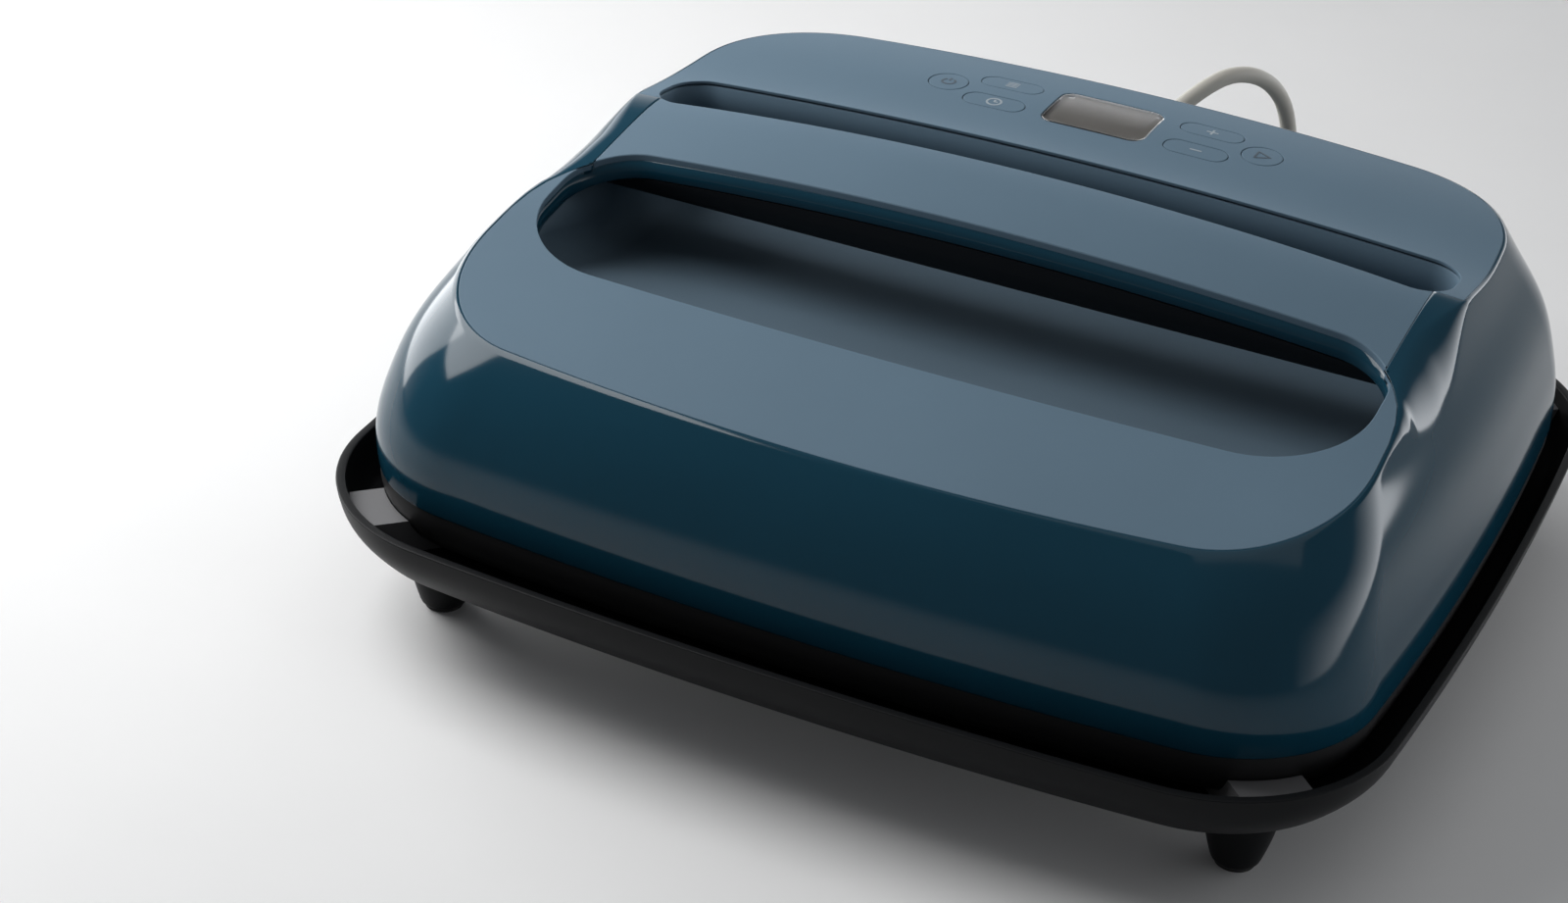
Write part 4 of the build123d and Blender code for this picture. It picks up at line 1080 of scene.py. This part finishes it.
# Mains cord: the route's points are those of the solid
COIL_X, COIL_Y = -7.9, 255.8
COIL_RADIUS, COIL_PITCH, HALF_TURNS, TAIL = 45.5, 6.6, 7, 36.0
CORD_RADIUS = 3.0
LOWER_LAYER = 4.3
UPPER_LAYER = LOWER_LAYER + COIL_PITCH
end_x, end_y = COIL_X + COIL_RADIUS, COIL_Y - 2 * CORD_RADIUS
route = [
    (7.5, 148.8, PARTING + 61.5),
    (14.9, 161.8, PARTING + 69.5),
    (23.3, 176.6, PARTING + 69.2),
    (30.6, 189.4, PARTING + 60.7),
    (35.0, 197.0, PARTING + 46.1),
    (36.5, 200.3, PARTING + 22.0),
    (37.2, 202.8, PARTING),
    (37.5, 207.8, LOWER_LAYER + 25.7),
    (end_x, end_y - 31.0, LOWER_LAYER + 8.2),
    (end_x, end_y - 16.0, LOWER_LAYER),
    (end_x, end_y, LOWER_LAYER),
]
PER_HALF = 9


def half_turn(x, side, radius, start_z, end_z):
    """Points on half a turn that starts at x and heads away from or towards the press."""
    points = []
    for k in range(1, PER_HALF + 1):
        angle = math.pi * k / PER_HALF
        across = x - side * radius * (1 - math.cos(angle))
        z = start_z + (end_z - start_z) * k / PER_HALF
        points.append((across, COIL_Y + side * radius * math.sin(angle), z))
    return points


x, side = end_x, 1
radii = [COIL_RADIUS - k * COIL_PITCH / 2 for k in range(HALF_TURNS)]
climb = COIL_RADIUS - HALF_TURNS * COIL_PITCH / 2
turns = [(r, LOWER_LAYER, LOWER_LAYER) for r in radii]
turns += [(climb, LOWER_LAYER, UPPER_LAYER)]
turns += [(r, UPPER_LAYER, UPPER_LAYER) for r in reversed(radii)]
route.append((x, COIL_Y, LOWER_LAYER))
for radius, low, high in turns:
    route += half_turn(x, side, radius, low, high)
    x, side = x - 2 * side * radius, -side
plug_x, plug_back = x, COIL_Y - TAIL
route += [(x, COIL_Y - TAIL / 3, UPPER_LAYER), (x, COIL_Y - 2 * TAIL / 3, UPPER_LAYER)]
route.append((x, plug_back, UPPER_LAYER))


def cord_mesh(name, points, bevel):
    """Mesh of a smooth curve through a route, as a line or, with a bevel, as a tube."""
    curve = bpy.data.curves.new(name, "CURVE")
    curve.dimensions = "3D"
    curve.bevel_depth = bevel * MM
    curve.bevel_resolution = 5
    curve.resolution_u = 6
    curve.use_fill_caps = True
    spline = curve.splines.new("NURBS")
    spline.points.add(len(points) - 1)
    for point, place in zip(spline.points, points):
        point.co = (*[c * MM for c in place], 1.0)
    spline.order_u = 3
    spline.use_endpoint_u = True
    obj = bpy.data.objects.new(name, curve)
    bpy.context.collection.objects.link(obj)
    graph = bpy.context.evaluated_depsgraph_get()
    mesh = bpy.data.meshes.new_from_object(obj.evaluated_get(graph))
    bpy.data.objects.remove(obj)
    return mesh


cord_path = [tuple(v.co) for v in cord_mesh("cord_line", route, 0.0).vertices]
tube_mesh = cord_mesh("cord_tube", route, CORD_RADIUS)
mains_cord = bpy.data.objects.new("mains_cord", tube_mesh)
bpy.context.collection.objects.link(mains_cord)
tube_mesh.polygons.foreach_set("use_smooth", [True] * len(tube_mesh.polygons))
dress(mains_cord, "cord", None, ["cord_run", "cord_coil"])
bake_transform(mains_cord)

# Strain relief: a ribbed taper from the rear wall to the cord
STRAIN_LENGTH, STRAIN_BASE, STRAIN_TIP = 30.0, 6.0, 4.2
TIP_LENGTH = 0.4
RIBS, RIB_DEPTH, RIBS_FROM, RIBS_LENGTH = 7, 0.45, 0.35, 0.55
BOOT_STEPS = 120
exit_point = Vector(route[0])
exit_way = (Vector(route[1]) - exit_point).normalized()
boot_profile = [(AXIS, -STRAIN_LENGTH), (STRAIN_BASE, -STRAIN_LENGTH)]
for k in range(BOOT_STEPS + 1):
    share = k / BOOT_STEPS
    radius = STRAIN_BASE + (STRAIN_TIP - STRAIN_BASE) * share
    ribbed = min(1.0, max(0.0, (share - RIBS_FROM) / RIBS_LENGTH))
    groove = RIB_DEPTH * (1 - math.cos(2 * math.pi * RIBS * ribbed)) / 2
    boot_profile.append((radius - groove, -STRAIN_LENGTH + (STRAIN_LENGTH - TIP_LENGTH) * share))
boot_profile += [(STRAIN_TIP - 0.2, -0.2), (STRAIN_TIP - 0.7, 0.0), (CORD_RADIUS - 0.3, 0.0)]
boot_verts, boot_faces = lathe(boot_profile, 40)
turn_to = exit_way.to_track_quat("Z", "Y").to_matrix()
boot_verts = [tuple(exit_point + turn_to @ Vector(v)) for v in boot_verts]
cord_boot = new_piece("cord_boot", boot_verts, boot_faces)
dress(cord_boot, "cord", "press", ["strain_relief"])

# Plug: a tapered body with finger grooves, from (distance back, share of its full size) stations
PLUG_WIDTH, PLUG_CORNER = 26.0, 6.0
PLUG_GROOVES = (19.5, 24.5, 29.5)
PLUG_COLUMNS = 64
THICKER, THICKEST = 0.06, 0.99
plug_stations = [(0.0, 0.36), (0.6, 0.5), (3.0, 0.58), (8.0, 0.74), (16.0, 1.0)]
for back in PLUG_GROOVES:
    plug_stations += [(back - 1.5, 0.985), (back, 0.95), (back + 1.5, 0.985)]
plug_stations += [(34.8, 1.0), (35.6, 0.985), (36.0, 0.95)]
angles = np.linspace(0, 2 * math.pi, PLUG_COLUMNS, endpoint=False)
facing = np.angle(np.exp(1j * angles))
plug_verts = []
for back, share in plug_stations:
    height = 2 * UPPER_LAYER * min(THICKEST, share + THICKER)
    loop = box_loop(0, 0, PLUG_WIDTH * share, height, PLUG_CORNER * share)
    around = np.arctan2(loop[:, 1], loop[:, 0])
    order = np.argsort(around)
    span = np.hypot(loop[:, 0], loop[:, 1])[order]
    radius = np.interp(facing, around[order], span, period=2 * math.pi)
    for a, r in zip(angles, radius):
        x, z = plug_x + r * math.cos(a), UPPER_LAYER + r * math.sin(a)
        plug_verts.append((x, plug_back - back, z))
plug_faces = grid_faces(len(plug_stations), PLUG_COLUMNS)
last = len(plug_verts)
plug_faces += [tuple(range(PLUG_COLUMNS)), tuple(range(last - PLUG_COLUMNS, last))]
cord_plug = new_piece("cord_plug", plug_verts, plug_faces)
dress(cord_plug, "cord", "base", ["plug_body"])

# Solids whose shape is right keep it, with a better surface
FINISHES = {
    "black": ["handle_grip"],
    "band": ["lower_band"],
    # The rest pads take the pale grey of painted sheen.
    "pad": ["rest_pads"],
    "rubber": ["foot_pads"],
    "plate": ["heat_plate"],
    "fibre": ["insulation_board"],
    "board": ["power_board", "control_board"],
    "module": ["display_module"],
    "brass": ["plug_pins"],
    "moulded": ["thermal_cutout", "relay", "terminal_block", "tact_switches", "coil_ties"],
    "steel": [
        "foot_screws",
        "handle_screws",
        "shell_screws",
        "heating_element",
        "heat_shield",
        "plate_standoffs",
        "temperature_sensor",
    ],
}
for finish, names in FINISHES.items():
    for name in names:
        if not nodes[name].data.materials:
            nodes[name].data.materials.append(M[finish])
        for slot in nodes[name].material_slots:
            slot.material = M[finish]

# Stage
FLOOR_REACH = 6000.0
floor_signs = ((-1, -1), (1, -1), (1, 1), (-1, 1))
floor_corners = [(x * FLOOR_REACH, y * FLOOR_REACH, 0) for x, y in floor_signs]
floor = new_piece("floor", floor_corners, [(0, 1, 2, 3)], smooth=False)
floor.data.materials.append(material("floor_white", (0.74, 0.74, 0.74), 0.9, patches=0.01))

# Camera at the photograph's place
PHOTO_WIDTH = 1600
FOCAL_PIXELS = 3255.35
SENSOR = 36.0
CAMERA_PLACE = (335.01, -864.2, 573.37)
camera_data = bpy.data.cameras.new("camera")
camera_data.sensor_width = SENSOR
camera_data.lens = FOCAL_PIXELS * SENSOR / PHOTO_WIDTH
camera_data.clip_start = 0.01
camera_data.clip_end = 50
camera = bpy.data.objects.new("camera", camera_data)
bpy.context.collection.objects.link(camera)
right = Vector((0.89248106, 0.44881241, 0.04522139))
up = Vector((-0.26057804, 0.4311306, 0.86384344))
back = Vector((0.36820733, -0.78274761, 0.50172655))
turn = Matrix((right, up, back)).transposed().to_4x4()
camera.matrix_world = Matrix.Translation(Vector(CAMERA_PLACE) * MM) @ turn
bpy.context.scene.camera = camera

# Light


def soft_box(name, place, target, width, height, power):
    """Rectangular lamp that faces a target. Places and sizes are in metres, its power in watts."""
    light = bpy.data.lights.new(name, "AREA")
    light.shape = "RECTANGLE"
    light.size, light.size_y = width, height
    light.energy = power
    obj = bpy.data.objects.new(name, light)
    bpy.context.collection.objects.link(obj)
    obj.location = place
    obj.rotation_euler = (Vector(target) - Vector(place)).to_track_quat("-Z", "Y").to_euler()


soft_box("key", (-0.62, -0.08, 0.70), (0, 0, 0.1), 0.6, 0.6, 7.2)
soft_box("left_strip", (-1.7, 0.55, 0.60), (0, 0, 0.1), 1.3, 1.2, 22.0)
soft_box("overhead", (0.3, 0.2, 2.2), (0, 0, 0), 2.0, 2.0, 6.0)

# Surroundings: a dim base, brighter low down behind the press and to its rear right
DIM, BEHIND, ASIDE = 0.15, 2.2, 2.6
world = bpy.data.worlds.new("studio")
bpy.context.scene.world = world
world.use_nodes = True
tree = world.node_tree
background = tree.nodes["Background"]
background.inputs["Color"].default_value = (0.95, 0.97, 1.0, 1.0)
direction = tree.nodes.new("ShaderNodeTexCoord").outputs["Generated"]
split = tree.nodes.new("ShaderNodeSeparateXYZ")
tree.links.new(direction, split.inputs["Vector"])
aside = tree.nodes.new("ShaderNodeVectorMath")
aside.operation = "DOT_PRODUCT"
aside.inputs[1].default_value = (0.8, 0.6, 0.0)
tree.links.new(direction, aside.inputs[0])
total = tree.nodes.new("ShaderNodeMath")
total.operation = "ADD"
tree.links.new(mapped(tree, split.outputs["Y"], (-0.2, 0.5), (0.0, BEHIND)), total.inputs[0])
tree.links.new(mapped(tree, aside.outputs["Value"], (0.5, 1.0), (0.0, ASIDE)), total.inputs[1])
low = mapped(tree, split.outputs["Z"], (0.46, 0.0))
glow = tree.nodes.new("ShaderNodeMath")
glow.operation = "MULTIPLY_ADD"
glow.inputs[2].default_value = DIM
tree.links.new(total.outputs["Value"], glow.inputs[0])
tree.links.new(low, glow.inputs[1])
tree.links.new(glow.outputs["Value"], background.inputs["Strength"])

bpy.context.scene.view_settings.view_transform = "Standard"
